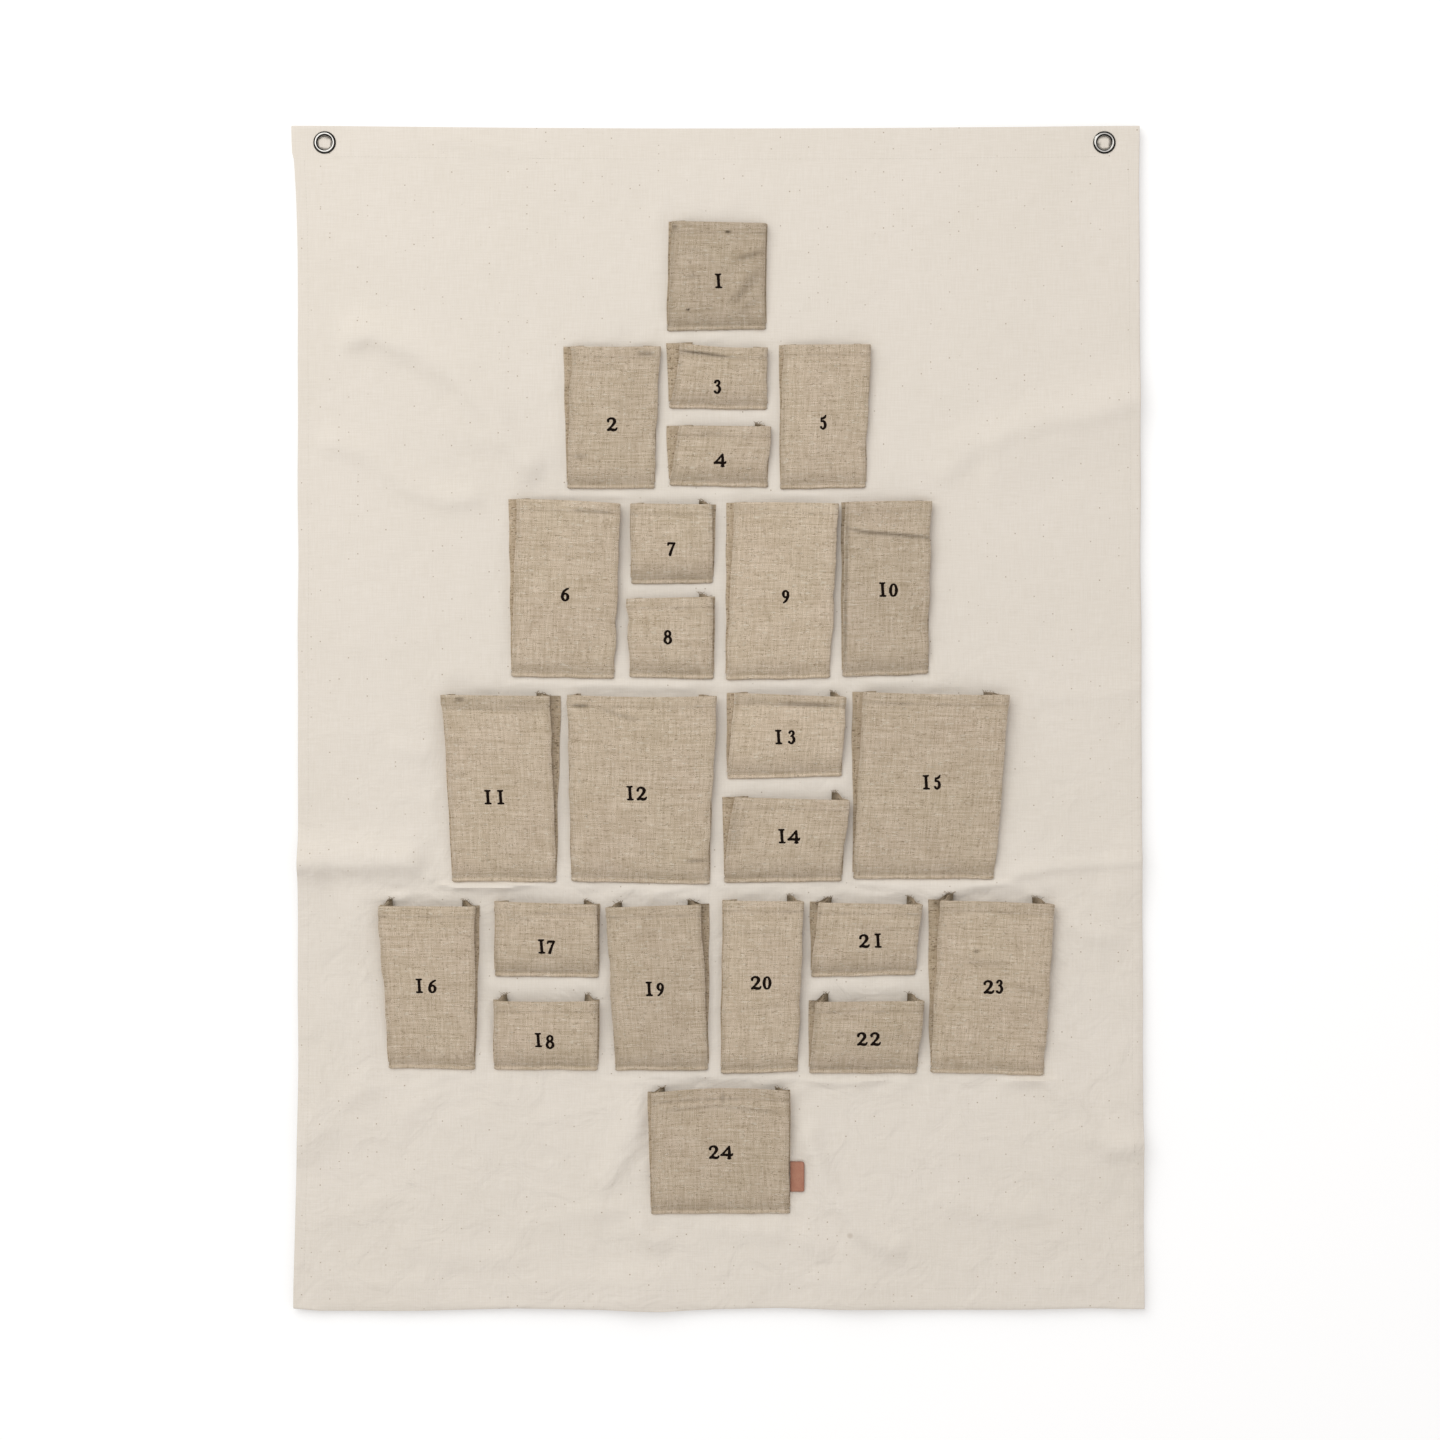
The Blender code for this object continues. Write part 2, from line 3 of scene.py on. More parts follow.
import bpy
import numpy as np
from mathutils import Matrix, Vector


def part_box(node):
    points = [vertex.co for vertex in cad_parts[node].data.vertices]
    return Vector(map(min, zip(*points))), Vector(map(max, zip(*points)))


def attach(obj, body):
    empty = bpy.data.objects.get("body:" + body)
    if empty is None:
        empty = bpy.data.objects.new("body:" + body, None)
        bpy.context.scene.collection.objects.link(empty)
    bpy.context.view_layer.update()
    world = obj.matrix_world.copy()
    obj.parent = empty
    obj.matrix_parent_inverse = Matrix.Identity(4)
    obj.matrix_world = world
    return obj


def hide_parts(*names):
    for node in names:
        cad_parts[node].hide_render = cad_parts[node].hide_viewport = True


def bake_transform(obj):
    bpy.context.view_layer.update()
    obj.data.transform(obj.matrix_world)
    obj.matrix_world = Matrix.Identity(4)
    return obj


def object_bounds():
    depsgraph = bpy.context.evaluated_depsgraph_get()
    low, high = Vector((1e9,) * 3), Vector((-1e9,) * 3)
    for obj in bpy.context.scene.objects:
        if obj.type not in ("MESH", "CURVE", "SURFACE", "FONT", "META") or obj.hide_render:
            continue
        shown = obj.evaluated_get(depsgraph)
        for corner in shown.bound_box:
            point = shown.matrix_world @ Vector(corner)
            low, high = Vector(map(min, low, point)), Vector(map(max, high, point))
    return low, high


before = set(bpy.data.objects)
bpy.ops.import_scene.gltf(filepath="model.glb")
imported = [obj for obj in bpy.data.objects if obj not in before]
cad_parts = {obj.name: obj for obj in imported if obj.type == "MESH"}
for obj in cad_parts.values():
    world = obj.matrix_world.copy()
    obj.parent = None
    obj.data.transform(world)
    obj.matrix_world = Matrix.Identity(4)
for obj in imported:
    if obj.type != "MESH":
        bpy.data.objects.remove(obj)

cad_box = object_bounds()

# The wall cloth: unbleached cotton canvas, turned over to the back along its four edges and machine stitched
# there. It hangs from its two top corners, still creased from its packet, and small tucks cross it where the
# pockets were sewn on.

CLOTH_WIDTH, CLOTH_HEIGHT = 0.8577, 1.200
CLOTH_LEFT, CLOTH_RIGHT = -0.4271, 0.4306
CLOTH_TOP = 0.0172
CANVAS = 0.0007                                  # its thickness
FACE_Y = -0.0032                                 # the front of the hanging cloth
FLAPS = {"side": 0.0125, "top": 0.0330, "foot": 0.0230}    # the strips turned over to the back
LAYER_GAP = 0.00003                              # between two folded layers
HOLE_RADIUS = 0.0074                             # of the holes punched for the eyelets
TOP_SAG = 0.0030                                 # of the top edge between the eyelets
SIDE_DRAW, FOOT_SPREAD = 0.0045, 0.0055          # how far the left edge draws in, and the right one runs out

# Broad soft folds: both ends as shares of the cloth from its top left, and the rise as a share of 5 mm
BROAD_FOLDS = (
    (0.00, 0.631, 0.16, 0.634, 1.0), (0.895, 0.642, 1.00, 0.628, 0.6), (0.79, 0.291, 1.00, 0.232, 0.7),
    (0.126, 0.194, 0.268, 0.304, 0.5), (0.02, 0.841, 0.126, 0.803, 0.6), (0.895, 0.811, 1.00, 0.883, 0.6),
    (0.41, 1.00, 0.387, 0.934, 0.8), (0.67, 1.00, 0.635, 0.934, 0.5),
)

# Creases: the line along the shaded side in mm, the rise, and the widths of the lit and of the shaded side
CREASES = (
    (((-451, -740), (-380, -741), (-319, -739), (-287, -740)), 9.5, 17, 14),
    (((-297, -740), (-281, -754), (-243, -758), (-192, -754), (-151, -748)), 4.0, 5, 3),
    (((-344, -761), (-304, -761)), -1.6, 5, 5),
    (((-451, -850), (-380, -851), (-323, -852)), -1.2, 12, 12),
    (((336, -849), (391, -849), (457, -851)), -1.2, 12, 12),
    (((-441, -1042), (-400, -1012), (-365, -973), (-327, -945)), 2.2, 14, 9),
    (((-324, -1002), (-299, -981), (-263, -959)), 2.0, 9, 6),
    (((-118, -1079), (-91, -1037), (-73, -1002), (-65, -963)), 3.4, 18, 9),
    (((-197, -1061), (-152, -1022)), -1.0, 10, 7),
    (((-161, -1087), (-63, -1084)), 1.2, 6, 5),
    (((97, -1084), (160, -1085)), 1.2, 6, 5),
    (((-228, -1107), (-152, -1098), (-74, -1084)), 1.4, 10, 7),
    (((-88, -1083), (-73, -1113), (-45, -1130)), 5.0, 10, 7),
    (((-15, -1095), (24, -1113), (87, -1111)), 2.4, 9, 7),
    (((83, -987), (93, -1032), (113, -1073), (144, -1111), (173, -1128), (203, -1128)), 6.5, 13, 9),
    (((75, -1098), (117, -1144)), 5.0, 9, 8),
    (((285, -951), (330, -955), (357, -981), (377, -1012), (399, -1028), (462, -1022)), 6.0, 13, 9),
    (((214, -769), (264, -758), (310, -746), (348, -739), (396, -736), (462, -730)), 2.6, 10, 6),
    (((346, -791), (376, -809), (421, -817)), 4.0, 14, 9),
    (((-385, -213), (-347, -204), (-304, -223), (-266, -247), (-232, -281), (-206, -322), (-177, -350)),
     6.5, 22, 12),
    (((-410, -304), (-355, -325), (-314, -357), (-273, -371), (-226, -367)), 3.4, 15, 10),
    (((221, -355), (259, -326), (300, -302), (337, -289), (377, -286), (421, -272), (462, -265)), 2.9, 20, 9),
    (((-341, -613), (-280, -632)), 2.2, 11, 8),
    (((300, -553), (340, -568), (391, -568), (452, -553)), 1.0, 12, 7),
    (((-294, 3), (-223, -10), (-169, -18)), 1.3, 8, 5),
    (((-252, -766), (-218, -758), (-177, -752), (-149, -748)), 1.5, 4, 2.5),
    (((-80, -767), (-43, -761), (-11, -754)), 1.4, 4, 2.5),
    (((28, -758), (77, -761), (125, -753)), -0.6, 4, 2.5),
    (((123, -753), (158, -761), (196, -763)), -1.3, 4, 3),
    (((210, -753), (253, -747)), 1.1, 4, 2.5),
    (((-124, -946), (-81, -949), (-37, -957)), -1.3, 4, 2.5),
    (((-39, -957), (-10, -948)), -0.6, 4, 2.5),
    (((73, -951), (123, -957), (196, -951)), 2.6, 4, 3),
    (((-169, -555), (-116, -552), (-71, -555)), 0.9, 4, 2.5),
    (((-60, -553), (-21, -557)), 1.0, 4, 2.5),
    (((-134, -360), (-74, -363)), 1.0, 4, 2.5),
    (((54, -356), (119, -361)), 0.5, 4, 2.5),
    (((-405, -1157), (-340, -1163), (-290, -1159)), 1.5, 5, 3),
    (((-250, -1158), (-190, -1162), (-130, -1158), (-70, -1163)), 1.3, 5, 3),
    (((20, -1160), (90, -1157), (150, -1163), (215, -1159)), 1.4, 5, 3),
    (((270, -1158), (330, -1163), (405, -1159)), 1.2, 5, 3),
    (((-330, -1120), (-270, -1137), (-180, -1141)), 2.0, 16, 11),
    (((215, -1075), (275, -1096), (350, -1092)), 2.6, 16, 11),
    (((-415, -1103), (-360, -1092), (-310, -1070)), 1.8, 14, 10),
)
# How far the foot's edge rises above its line, at places across it, in mm
FOOT_WAVES = ((-430, 0), (-400, -2.5), (-300, -2.5), (-200, 0), (-116, -1.5), (-55, -3.5), (0, -1), (66, 0.5),
              (128, -1.5), (300, -1.5), (380, 0), (436, -1))


def ease(share):
    """Runs from 0 to 1 with level ends."""
    share = np.clip(share, 0, 1)
    return share * share * (3 - 2 * share)


def ripple(x, z, length, seed, waves=7):
    """Soft seeded undulation of about that wavelength, from -1 to 1."""
    draw = np.random.default_rng(seed)
    total = np.zeros(np.broadcast(x, z).shape)
    for turn, phase, stretch in zip(draw.uniform(0, tau, waves), draw.uniform(0, tau, waves),
                                    draw.uniform(0.7, 1.5, waves)):
        total += np.sin((x * np.cos(turn) + z * np.sin(turn)) * tau * stretch / length + phase)
    return total / waves ** 0.5 / 1.6


def crease(x, z, line, lit, shaded):
    """One ridge of height 1 along a line, its lit side to the left of the line's direction. All in mm."""
    points = np.array(line, float)
    runs = np.diff(points, axis=0)
    lengths = np.hypot(*runs.T)
    nearest = np.full(np.shape(x), np.inf)
    across, along = np.zeros(np.shape(x)), np.zeros(np.shape(x))
    for start, run, length, before in zip(points, runs, lengths, np.cumsum(lengths) - lengths):
        share = np.clip(((x - start[0]) * run[0] + (z - start[1]) * run[1]) / length ** 2, 0, 1)
        dx, dz = x - start[0] - run[0] * share, z - start[1] - run[1] * share
        away = np.hypot(dx, dz)
        closer = away < nearest
        nearest = np.where(closer, away, nearest)
        across = np.where(closer, away * np.sign(dz * run[0] - dx * run[1]), across)
        along = np.where(closer, before + share * length, along)
    across = across - 0.7 * shaded
    fade = min(25, 0.35 * lengths.sum())
    height = np.exp(-(across / np.where(across > 0, lit, shaded)) ** 2)
    return height * ease(along / fade) * ease((lengths.sum() - along) / fade)


pocket_boxes = []
for number in range(1, 25):
    front, gusset = (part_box(f"pocket_{number:02d}_{part}") for part in ("front", "gusset"))
    pocket_boxes.append((min(front[0].x, gusset[0].x), max(front[1].x, gusset[1].x),
                         min(front[0].z, gusset[0].z), front[1].z))
tag_low, tag_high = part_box("leather_tag")
sewn_boxes = pocket_boxes + [(tag_low.x, tag_high.x, tag_low.z, tag_high.z)]
EYELET_X = {side: sum(corner.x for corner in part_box(f"{side}_eyelet")) / 2 for side in ("left", "right")}


def from_pockets(x, z):
    """How far a point of the cloth is from the nearest pocket or the tag, 0 behind one."""
    nearest = np.full(np.shape(x), np.inf)
    for left, right, low, high in sewn_boxes:
        across = np.maximum(np.maximum(left - x, x - right), 0)
        upright = np.maximum(np.maximum(low - z, z - high), 0)
        nearest = np.minimum(nearest, np.maximum(across, upright))
    return nearest


def cloth_relief(x, z):
    """How far the hanging cloth stands off its flat, in metres."""
    clear = from_pockets(x, z)
    broad = np.zeros(np.shape(x))
    for start_x, start_z, end_x, end_z, rise in BROAD_FOLDS:
        start = np.array((CLOTH_LEFT + CLOTH_WIDTH * start_x, CLOTH_TOP - CLOTH_HEIGHT * start_z))
        run = np.array((CLOTH_WIDTH * (end_x - start_x), -CLOTH_HEIGHT * (end_z - start_z)))
        share = np.clip(((x - start[0]) * run[0] + (z - start[1]) * run[1]) / (run @ run), 0, 1)
        away = np.hypot(x - start[0] - run[0] * share, z - start[1] - run[1] * share)
        broad = np.maximum(broad, 0.005 * rise * ease(1 - away / 0.055))
    relief = broad * ease((clear - 0.044) / 0.022)
    # The cloth is pushed out just above each of the lower pockets
    swell = np.zeros(np.shape(x))
    for left, right, low, high in pocket_boxes:
        inside = ease((x - left + 0.004) / 0.012) * ease((right + 0.004 - x) / 0.012)
        inside = inside * ease((-0.38 - high) / 0.1)
        above = z - high
        swell = np.maximum(swell, inside * ease(above / 0.015) * ease((0.042 - above) / 0.027))
    fine = sum(rise * crease(x * 1000, z * 1000, line, lit, shaded) for line, rise, lit, shaded in CREASES)
    # Soft waves, stronger low down, and small ones in the gaps between the pockets
    gaps = ease((0.03 - clear) / 0.02)
    lower = ease((-0.5 - z) / 0.4)
    fine = fine + 0.6 + (0.4 + 0.7 * lower) * ripple(x, z, 0.14, 3)
    fine = fine + (0.12 + 0.12 * lower + 0.5 * gaps) * ripple(x, z, 0.05, 4)
    fine = fine + 0.6 * swell * (1 + 0.5 * ripple(x, z, 0.09, 9))
    fine = fine + 0.8 * gaps * lower * ripple(x, 1.6 * z, 0.034, 14)
    # The thick corners stay up while the free edges curl back, and the eyelets press the cloth flat
    side, foot = CLOTH_RIGHT + FOOT_SPREAD / 2 - x, z - CLOTH_TOP + CLOTH_HEIGHT
    corner = ease((0.036 - np.minimum(side, x - CLOTH_LEFT)) / 0.012)
    corner = corner * np.maximum(ease((0.036 - foot) / 0.012), ease((z + 0.030) / 0.012))
    inset = np.minimum(side + 0.0008, foot + 0.0010)
    fine = np.maximum(fine, 0.5 * corner - 0.5)
    fine = fine - 1.1 * (1 - corner) * ease(1 - inset / 0.0042) * ease((-0.02 - z) / 0.05)
    pressed = ease((np.hypot(np.abs(x) - EYELET_X["right"], z) - 0.0125) / 0.009)
    return relief + 0.001 * fine * ease((clear - 0.0005) / 0.0065) * pressed


def warp_cloth(across, down):
    """Takes a place on the flat finished cloth, from its top left, to its x and z as it hangs."""
    drop, share = down / CLOTH_HEIGHT, across / CLOTH_WIDTH
    left = CLOTH_LEFT + SIDE_DRAW * ease(drop / 0.12) * ease((1 - drop) / 0.18)
    left = left - 0.0015 * ease((0.034 - down) / 0.004) * ease(1 - across / 0.05)
    right = CLOTH_RIGHT + FOOT_SPREAD * drop
    x = left + (right - left) * share
    x = x + 0.0006 * ripple(0, down, 0.15, 8) * (2 * share - 1)
    waves = np.array(FOOT_WAVES) / 1000
    z = CLOTH_TOP - down - TOP_SAG * (1 - drop) * np.sin(pi * np.clip(share, 0, 1))
    z = z + np.interp(x, waves[:, 0], waves[:, 1]) * ease((down - CLOTH_HEIGHT + 0.06) / 0.06)
    return x, z


def add_woven_sheet(name, points):
    """A grid as a sheet: points holds its rows from the foot up."""
    rows, columns = points.shape[:2]
    bpy.ops.object.select_all(action="DESELECT")
    bpy.ops.mesh.primitive_grid_add(x_subdivisions=columns - 1, y_subdivisions=rows - 1, size=1)
    sheet = bpy.context.object
    sheet.name = sheet.data.name = name
    sheet.data.vertices.foreach_set("co", points.reshape(-1))
    sheet.data.update()
    return sheet


def thicken(piece, thickness, offset=0.0, group="", thinnest=0.5):
    """Gives a sheet its thickness, scaled by a vertex group where one is named."""
    solid = piece.modifiers.new("thickness", "SOLIDIFY")
    solid.thickness, solid.offset = thickness, offset
    solid.vertex_group, solid.thickness_vertex_group = group, thinnest
    apply_modifiers(piece)


def pick(piece):
    """Selects that piece alone and makes it the active one."""
    bpy.ops.object.select_all(action="DESELECT")
    piece.select_set(True)
    bpy.context.view_layer.objects.active = piece


def apply_modifiers(piece):
    pick(piece)
    for modifier in list(piece.modifiers):
        bpy.ops.object.modifier_apply(modifier=modifier.name)


def smooth(piece, angle=40):
    """Rounds the shading over every edge that turns by less than that many degrees."""
    pick(piece)
    bpy.ops.object.shade_smooth_by_angle(angle=radians(angle), keep_sharp_edges=True)


def hex_colour(value):
    """An sRGB hex colour as linear red, green, blue and alpha."""
    channels = [int(value[place:place + 2], 16) / 255 for place in (1, 3, 5)]
    return (*[c / 12.92 if c <= 0.04045 else ((c + 0.055) / 1.055) ** 2.4 for c in channels], 1.0)


def wire(node, inputs):
    """Gives each input a value, a colour in hex, or a link from a socket or from a node's first output."""
    for name, value in inputs.items():
        if isinstance(value, bpy.types.Node):
            value = value.outputs[0]
        if isinstance(value, bpy.types.NodeSocket):
            node.id_data.links.new(value, node.inputs[name])
        else:
            node.inputs[name].default_value = hex_colour(value) if isinstance(value, str) else value


def add(tree, kind, inputs={}, **settings):
    """Adds a node with its settings and inputs."""
    node = tree.nodes.new("ShaderNode" + kind)
    for name, value in settings.items():
        setattr(node, name, value)
    wire(node, inputs)
    return node


def new_material(name):
    """A material with only a Principled shader, and its node tree."""
    material = bpy.data.materials.new(name)
    material.use_nodes = True
    return material, material.node_tree, material.node_tree.nodes["Principled BSDF"]


def make_canvas():
    """Plain-woven cotton canvas: matt, warm white, with brown specks of seed husk in the yarn. Its threads
    lie 0.6 mm apart. Their tones are drawn 1.2 mm apart and their relief 2.4 mm apart, or the render couldn't
    show them."""
    material, tree, shader = new_material("unbleached_cotton_canvas")
    place = add(tree, "TexCoord").outputs["Object"]
    flat = add(tree, "Mapping", {"Vector": place, "Rotation": (-pi / 2, 0, 0)})
    cloudy = add(tree, "TexNoise", {"Vector": flat, "Scale": 7.0, "Detail": 3.0})
    base = add(tree, "MixRGB", {"Fac": cloudy, 1: "#E6DED2", 2: "#ECE4DA"})
    yarns = []
    for scale in ((45, 820, 1), (820, 45, 1)):
        run = add(tree, "Mapping", {"Vector": flat, "Scale": scale})
        yarns.append(add(tree, "TexNoise", {"Vector": run, "Scale": 1.0, "Detail": 2.0}))
    uneven = add(tree, "Math", {0: yarns[0], 1: yarns[1]}, operation="ADD")
    uneven = add(tree, "MapRange", {"Value": uneven, "From Min": 0.7, "From Max": 1.3})
    yarn = add(tree, "MixRGB", {"Fac": uneven, 1: "#F8F7F5", 2: "#FFFFFF"})
    woven = add(tree, "MixRGB", {"Fac": 1.0, 1: base, 2: yarn}, blend_type="MULTIPLY")
    cells = add(tree, "TexVoronoi", {"Vector": flat, "Scale": 105.0}, voronoi_dimensions="2D")
    speck = add(tree, "MapRange", {"Value": cells.outputs["Distance"], "From Min": 0.04, "From Max": 0.09,
                                   "To Min": 1.0, "To Max": 0.0})
    rare = add(tree, "SeparateColor", {0: cells.outputs["Color"]})
    rare = add(tree, "MapRange", {"Value": rare, "From Min": 0.15, "From Max": 0.0, "To Max": 0.75})
    speck = add(tree, "Math", {0: speck, 1: rare}, operation="MULTIPLY")
    knot = add(tree, "VectorMath", {0: flat, 1: (1, 1, 0), 2: (-0.1375, 1.1084, 0)}, operation="MULTIPLY_ADD")
    knot = add(tree, "VectorMath", {0: knot}, operation="LENGTH").outputs["Value"]
    knot = add(tree, "MapRange", {"Value": knot, "From Min": 0.0016, "From Max": 0.0038,
                                  "To Min": 0.26, "To Max": 0.0})
    speck = add(tree, "Math", {0: speck, 1: knot}, operation="MAXIMUM")
    husk = add(tree, "MixRGB", {"Fac": speck, 1: woven, 2: "#8A7352"})
    threads = [add(tree, "TexWave", {"Vector": flat, "Scale": 130.0, "Distortion": 1.5, "Detail": 1.0,
                                     "Detail Scale": 0.4}, bands_direction=axis) for axis in ("X", "Y")]
    weave = add(tree, "Math", {0: threads[0].outputs["Fac"], 1: threads[1].outputs["Fac"]},
                operation="MULTIPLY")
    weave = add(tree, "Math", {0: weave, 1: uneven}, operation="ADD")
    rumple = add(tree, "TexNoise", {"Vector": flat, "Scale": 26.0, "Detail": 4.0, "Distortion": 1.0})
    low_down = add(tree, "SeparateXYZ", {0: flat}).outputs[1]
    low_down = add(tree, "MapRange", {"Value": low_down, "From Min": -0.45, "From Max": -0.8, "To Min": 0.3})
    rumple = add(tree, "Bump", {"Height": rumple, "Strength": low_down, "Distance": 0.0034})
    bump = add(tree, "Bump", {"Height": weave, "Strength": 0.15, "Distance": 0.0002, "Normal": rumple})
    wire(shader, {"Base Color": husk, "Normal": bump, "Roughness": 0.92, "Specular IOR Level": 0.25,
                  "Sheen Weight": 0.05})
    return material


canvas = make_canvas()


def fold_places(low_flap, high_flap, inner, turn_start):
    """Stations across a sheet with both edges turned over: the distance from the finished edge, the angle
    that the cloth has turned there, and which edge, -1 the low one and 1 the high one."""
    turns = [pi * step / 6 for step in range(1, 6)]
    low = [(low_flap * share, pi, -1) for share in (1, 0.97, 0.66, 0.33)] + [(turn_start, pi, -1)]
    low += [(0, angle, -1) for angle in reversed(turns)]
    high = [(0, angle, 1) for angle in turns] + [(turn_start, pi, 1)]
    high += [(high_flap * share, pi, 1) for share in (0.33, 0.66, 0.97, 1)]
    return low + [(place, 0, 0) for place in inner] + high


# The rows of the cloth's grid lie closer where small tucks cross it, in bands measured down from its top
TUCKED_BANDS = ((0.201, 0.231), (0.362, 0.389), (0.555, 0.585), (0.733, 0.797), (0.953, 0.985))
FINE_STEP, COARSE_STEP = 0.0024, 0.0064
SIDE_STRIP = 0.0165                              # along each side, where its columns follow the hem's layers


def make_wall_cloth():
    """The cloth with its hems really folded: first the two sides, then the foot and the top over them."""
    turn_radius = (CANVAS + LAYER_GAP) / 2
    side_start = CANVAS / 2 + turn_radius
    near_edge = [side_start, 0.0018, 0.0030, 0.0045, 0.0085, 0.0120]
    spread = np.linspace(SIDE_STRIP, CLOTH_WIDTH - SIDE_STRIP, 159)
    inner = [*near_edge, *spread, *(CLOTH_WIDTH - place for place in reversed(near_edge))]
    downs, down = [0.002], 0.002
    while down < CLOTH_HEIGHT - 0.013:
        tucked = any(low < down < high for low, high in TUCKED_BANDS)
        down += FINE_STEP if tucked else COARSE_STEP
        downs.append(down)
    downs += [CLOTH_HEIGHT - place for place in (0.0048, 0.0032, 0.002)]
    inner_up = sorted(CLOTH_HEIGHT - down for down in downs)
    columns = fold_places(FLAPS["side"], FLAPS["side"], inner, side_start)
    rows = fold_places(FLAPS["foot"], FLAPS["top"], inner_up, 0.0015)
    points = np.zeros((len(rows), len(columns), 3))
    place, turn, edge = (np.array(column) for column in zip(*columns))
    depth = CANVAS / 2 + turn_radius * (1 - np.cos(turn))
    inset = np.where((turn > 0) & (turn < pi), side_start - turn_radius * np.sin(turn), place)
    across = np.where(edge > 0, CLOTH_WIDTH - inset, inset)
    stacked = 2 * CANVAS + LAYER_GAP
    # The top and foot hems are as thick as two layers, and over the side hems as four
    corner = ease(1 - (np.minimum(across, CLOTH_WIDTH - across) - 0.013) / 0.015)
    total = stacked + (stacked + LAYER_GAP) * corner
    for row, (place, turn, edge) in enumerate(rows):
        layer = total / 2 - (total / 2 - depth) * np.cos(turn)
        inset = np.full(len(columns), place)
        if 0 < turn < pi:
            inset = total / 2 - (total / 2 - depth) * np.sin(turn)
        down = inset if edge > 0 else (CLOTH_HEIGHT - inset)
        x, z = warp_cloth(across, down)
        points[row] = np.stack((x, FACE_Y + layer - cloth_relief(x, z), z), axis=1)
    cloth = add_woven_sheet("canvas_wall_cloth", points)
    thicken(cloth, CANVAS)
    return cloth


wall_cloth = make_wall_cloth()
punches = []
for x in EYELET_X.values():
    bpy.ops.mesh.primitive_cylinder_add(vertices=48, radius=HOLE_RADIUS, depth=0.02, location=(x, FACE_Y, 0),
                                        rotation=(pi / 2, 0, 0))
    punches.append(bpy.context.object)
bpy.ops.object.select_all(action="DESELECT")
for punch in punches:
    punch.select_set(True)
bpy.ops.object.join()
punch = bpy.context.object
cut = wall_cloth.modifiers.new("punched_holes", "BOOLEAN")
cut.operation, cut.solver, cut.object = "DIFFERENCE", "EXACT", punch
apply_modifiers(wall_cloth)
bpy.data.objects.remove(punch, do_unlink=True)
smooth(wall_cloth)
wall_cloth.data.materials.append(canvas)

# The cloth's stitching: cream sewing cotton, lockstitched at 3.4 mm along the inner edge of each hem, so each
# stitch shows on the front and again on the back as a short sunken bead.


def make_thread(name, colour):
    """Twisted sewing cotton: matt with a faint sheen, its twist showing as darker flecks every 0.8 mm."""
    material, tree, shader = new_material(name)
    place = add(tree, "TexCoord").outputs["Object"]
    twist = add(tree, "TexNoise", {"Vector": place, "Scale": 1200.0, "Detail": 1.0})
    dark = tuple(0.72 * channel for channel in hex_colour(colour)[:3]) + (1.0,)
    mix = add(tree, "MixRGB", {"Fac": twist, 1: dark, 2: colour})
    wire(shader, {"Base Color": mix, "Roughness": 0.75, "Sheen Weight": 0.1})
    return material


def model_stitch():
    """One stitch, 1 long and 1 thick, as a blunt bead of thread: its corners and its faces."""
    bpy.ops.object.select_all(action="DESELECT")
    bpy.ops.mesh.primitive_uv_sphere_add(segments=6, ring_count=4, radius=0.5, rotation=(0, pi / 2, 0))
    stitch = bpy.context.object
    bpy.ops.object.transform_apply(rotation=True)
    corners = np.array([vertex.co for vertex in stitch.data.vertices])
    corners[:, 0] = np.sign(corners[:, 0]) * np.abs(corners[:, 0] * 2) ** 0.6 / 2
    faces = [tuple(face.vertices) for face in stitch.data.polygons]
    bpy.data.objects.remove(stitch, do_unlink=True)
    return corners, faces


STITCH_CORNERS, STITCH_FACES = model_stitch()


def add_mesh(name, corners, edges, faces, material):
    """A piece from its corners, edges and faces."""
    mesh = bpy.data.meshes.new(name)
    mesh.from_pydata(corners, edges, faces)
    mesh.materials.append(material)
    piece = bpy.data.objects.new(name, mesh)
    bpy.context.scene.collection.objects.link(piece)
    return piece


def sew(name, seams, material, length=0.0027, gap=0.0007, thickness=0.00045):
    """Lays stitches along each seam, a row of points already on the cloth's surface."""
    corners, faces = [], []
    for seam in seams:
        seam = np.asarray(seam)
        steps = np.linalg.norm(np.diff(seam, axis=0), axis=1)
        run = np.concatenate(([0], np.cumsum(steps)))
        count = int(run[-1] / (length + gap))
        for start in (np.arange(count) + 0.2) * run[-1] / count:
            first, last = (np.array([np.interp(at, run, seam[:, axis]) for axis in range(3)])
                           for at in (start, start + length))
            forward = (last - first) / np.linalg.norm(last - first)
            outward = np.array((0.0, -1.0, 0.0))
            outward = outward - forward * (outward @ forward)
            outward = outward / np.linalg.norm(outward)
            sideways = np.cross(forward, outward)
            offset = sum(len(block) for block in corners)
            corners.append((first + last) / 2 + STITCH_CORNERS[:, :1] * forward * length
                           + STITCH_CORNERS[:, 1:2] * sideways * thickness
                           + STITCH_CORNERS[:, 2:] * outward * thickness * 0.8)
            faces += [tuple(index + offset for index in face) for face in STITCH_FACES]
    piece = add_mesh(name, np.concatenate(corners).tolist(), [], faces, material)
    piece.data.shade_smooth()
    return piece


def hem_seam(start, end, back):
    """A seam on the cloth's front or back between two flat places, each from the cloth's top left."""
    share = np.linspace(0, 1, 300)
    across, down = (start[axis] + (end[axis] - start[axis]) * share for axis in (0, 1))
    x, z = warp_cloth(across, down)
    depth = 2 * CANVAS + LAYER_GAP + 0.00003 if back else 0.00006
    return np.stack((x, FACE_Y + depth - cloth_relief(x, z), z), axis=1)


cream_thread = make_thread("cream_sewing_cotton", "#E6DFD2")
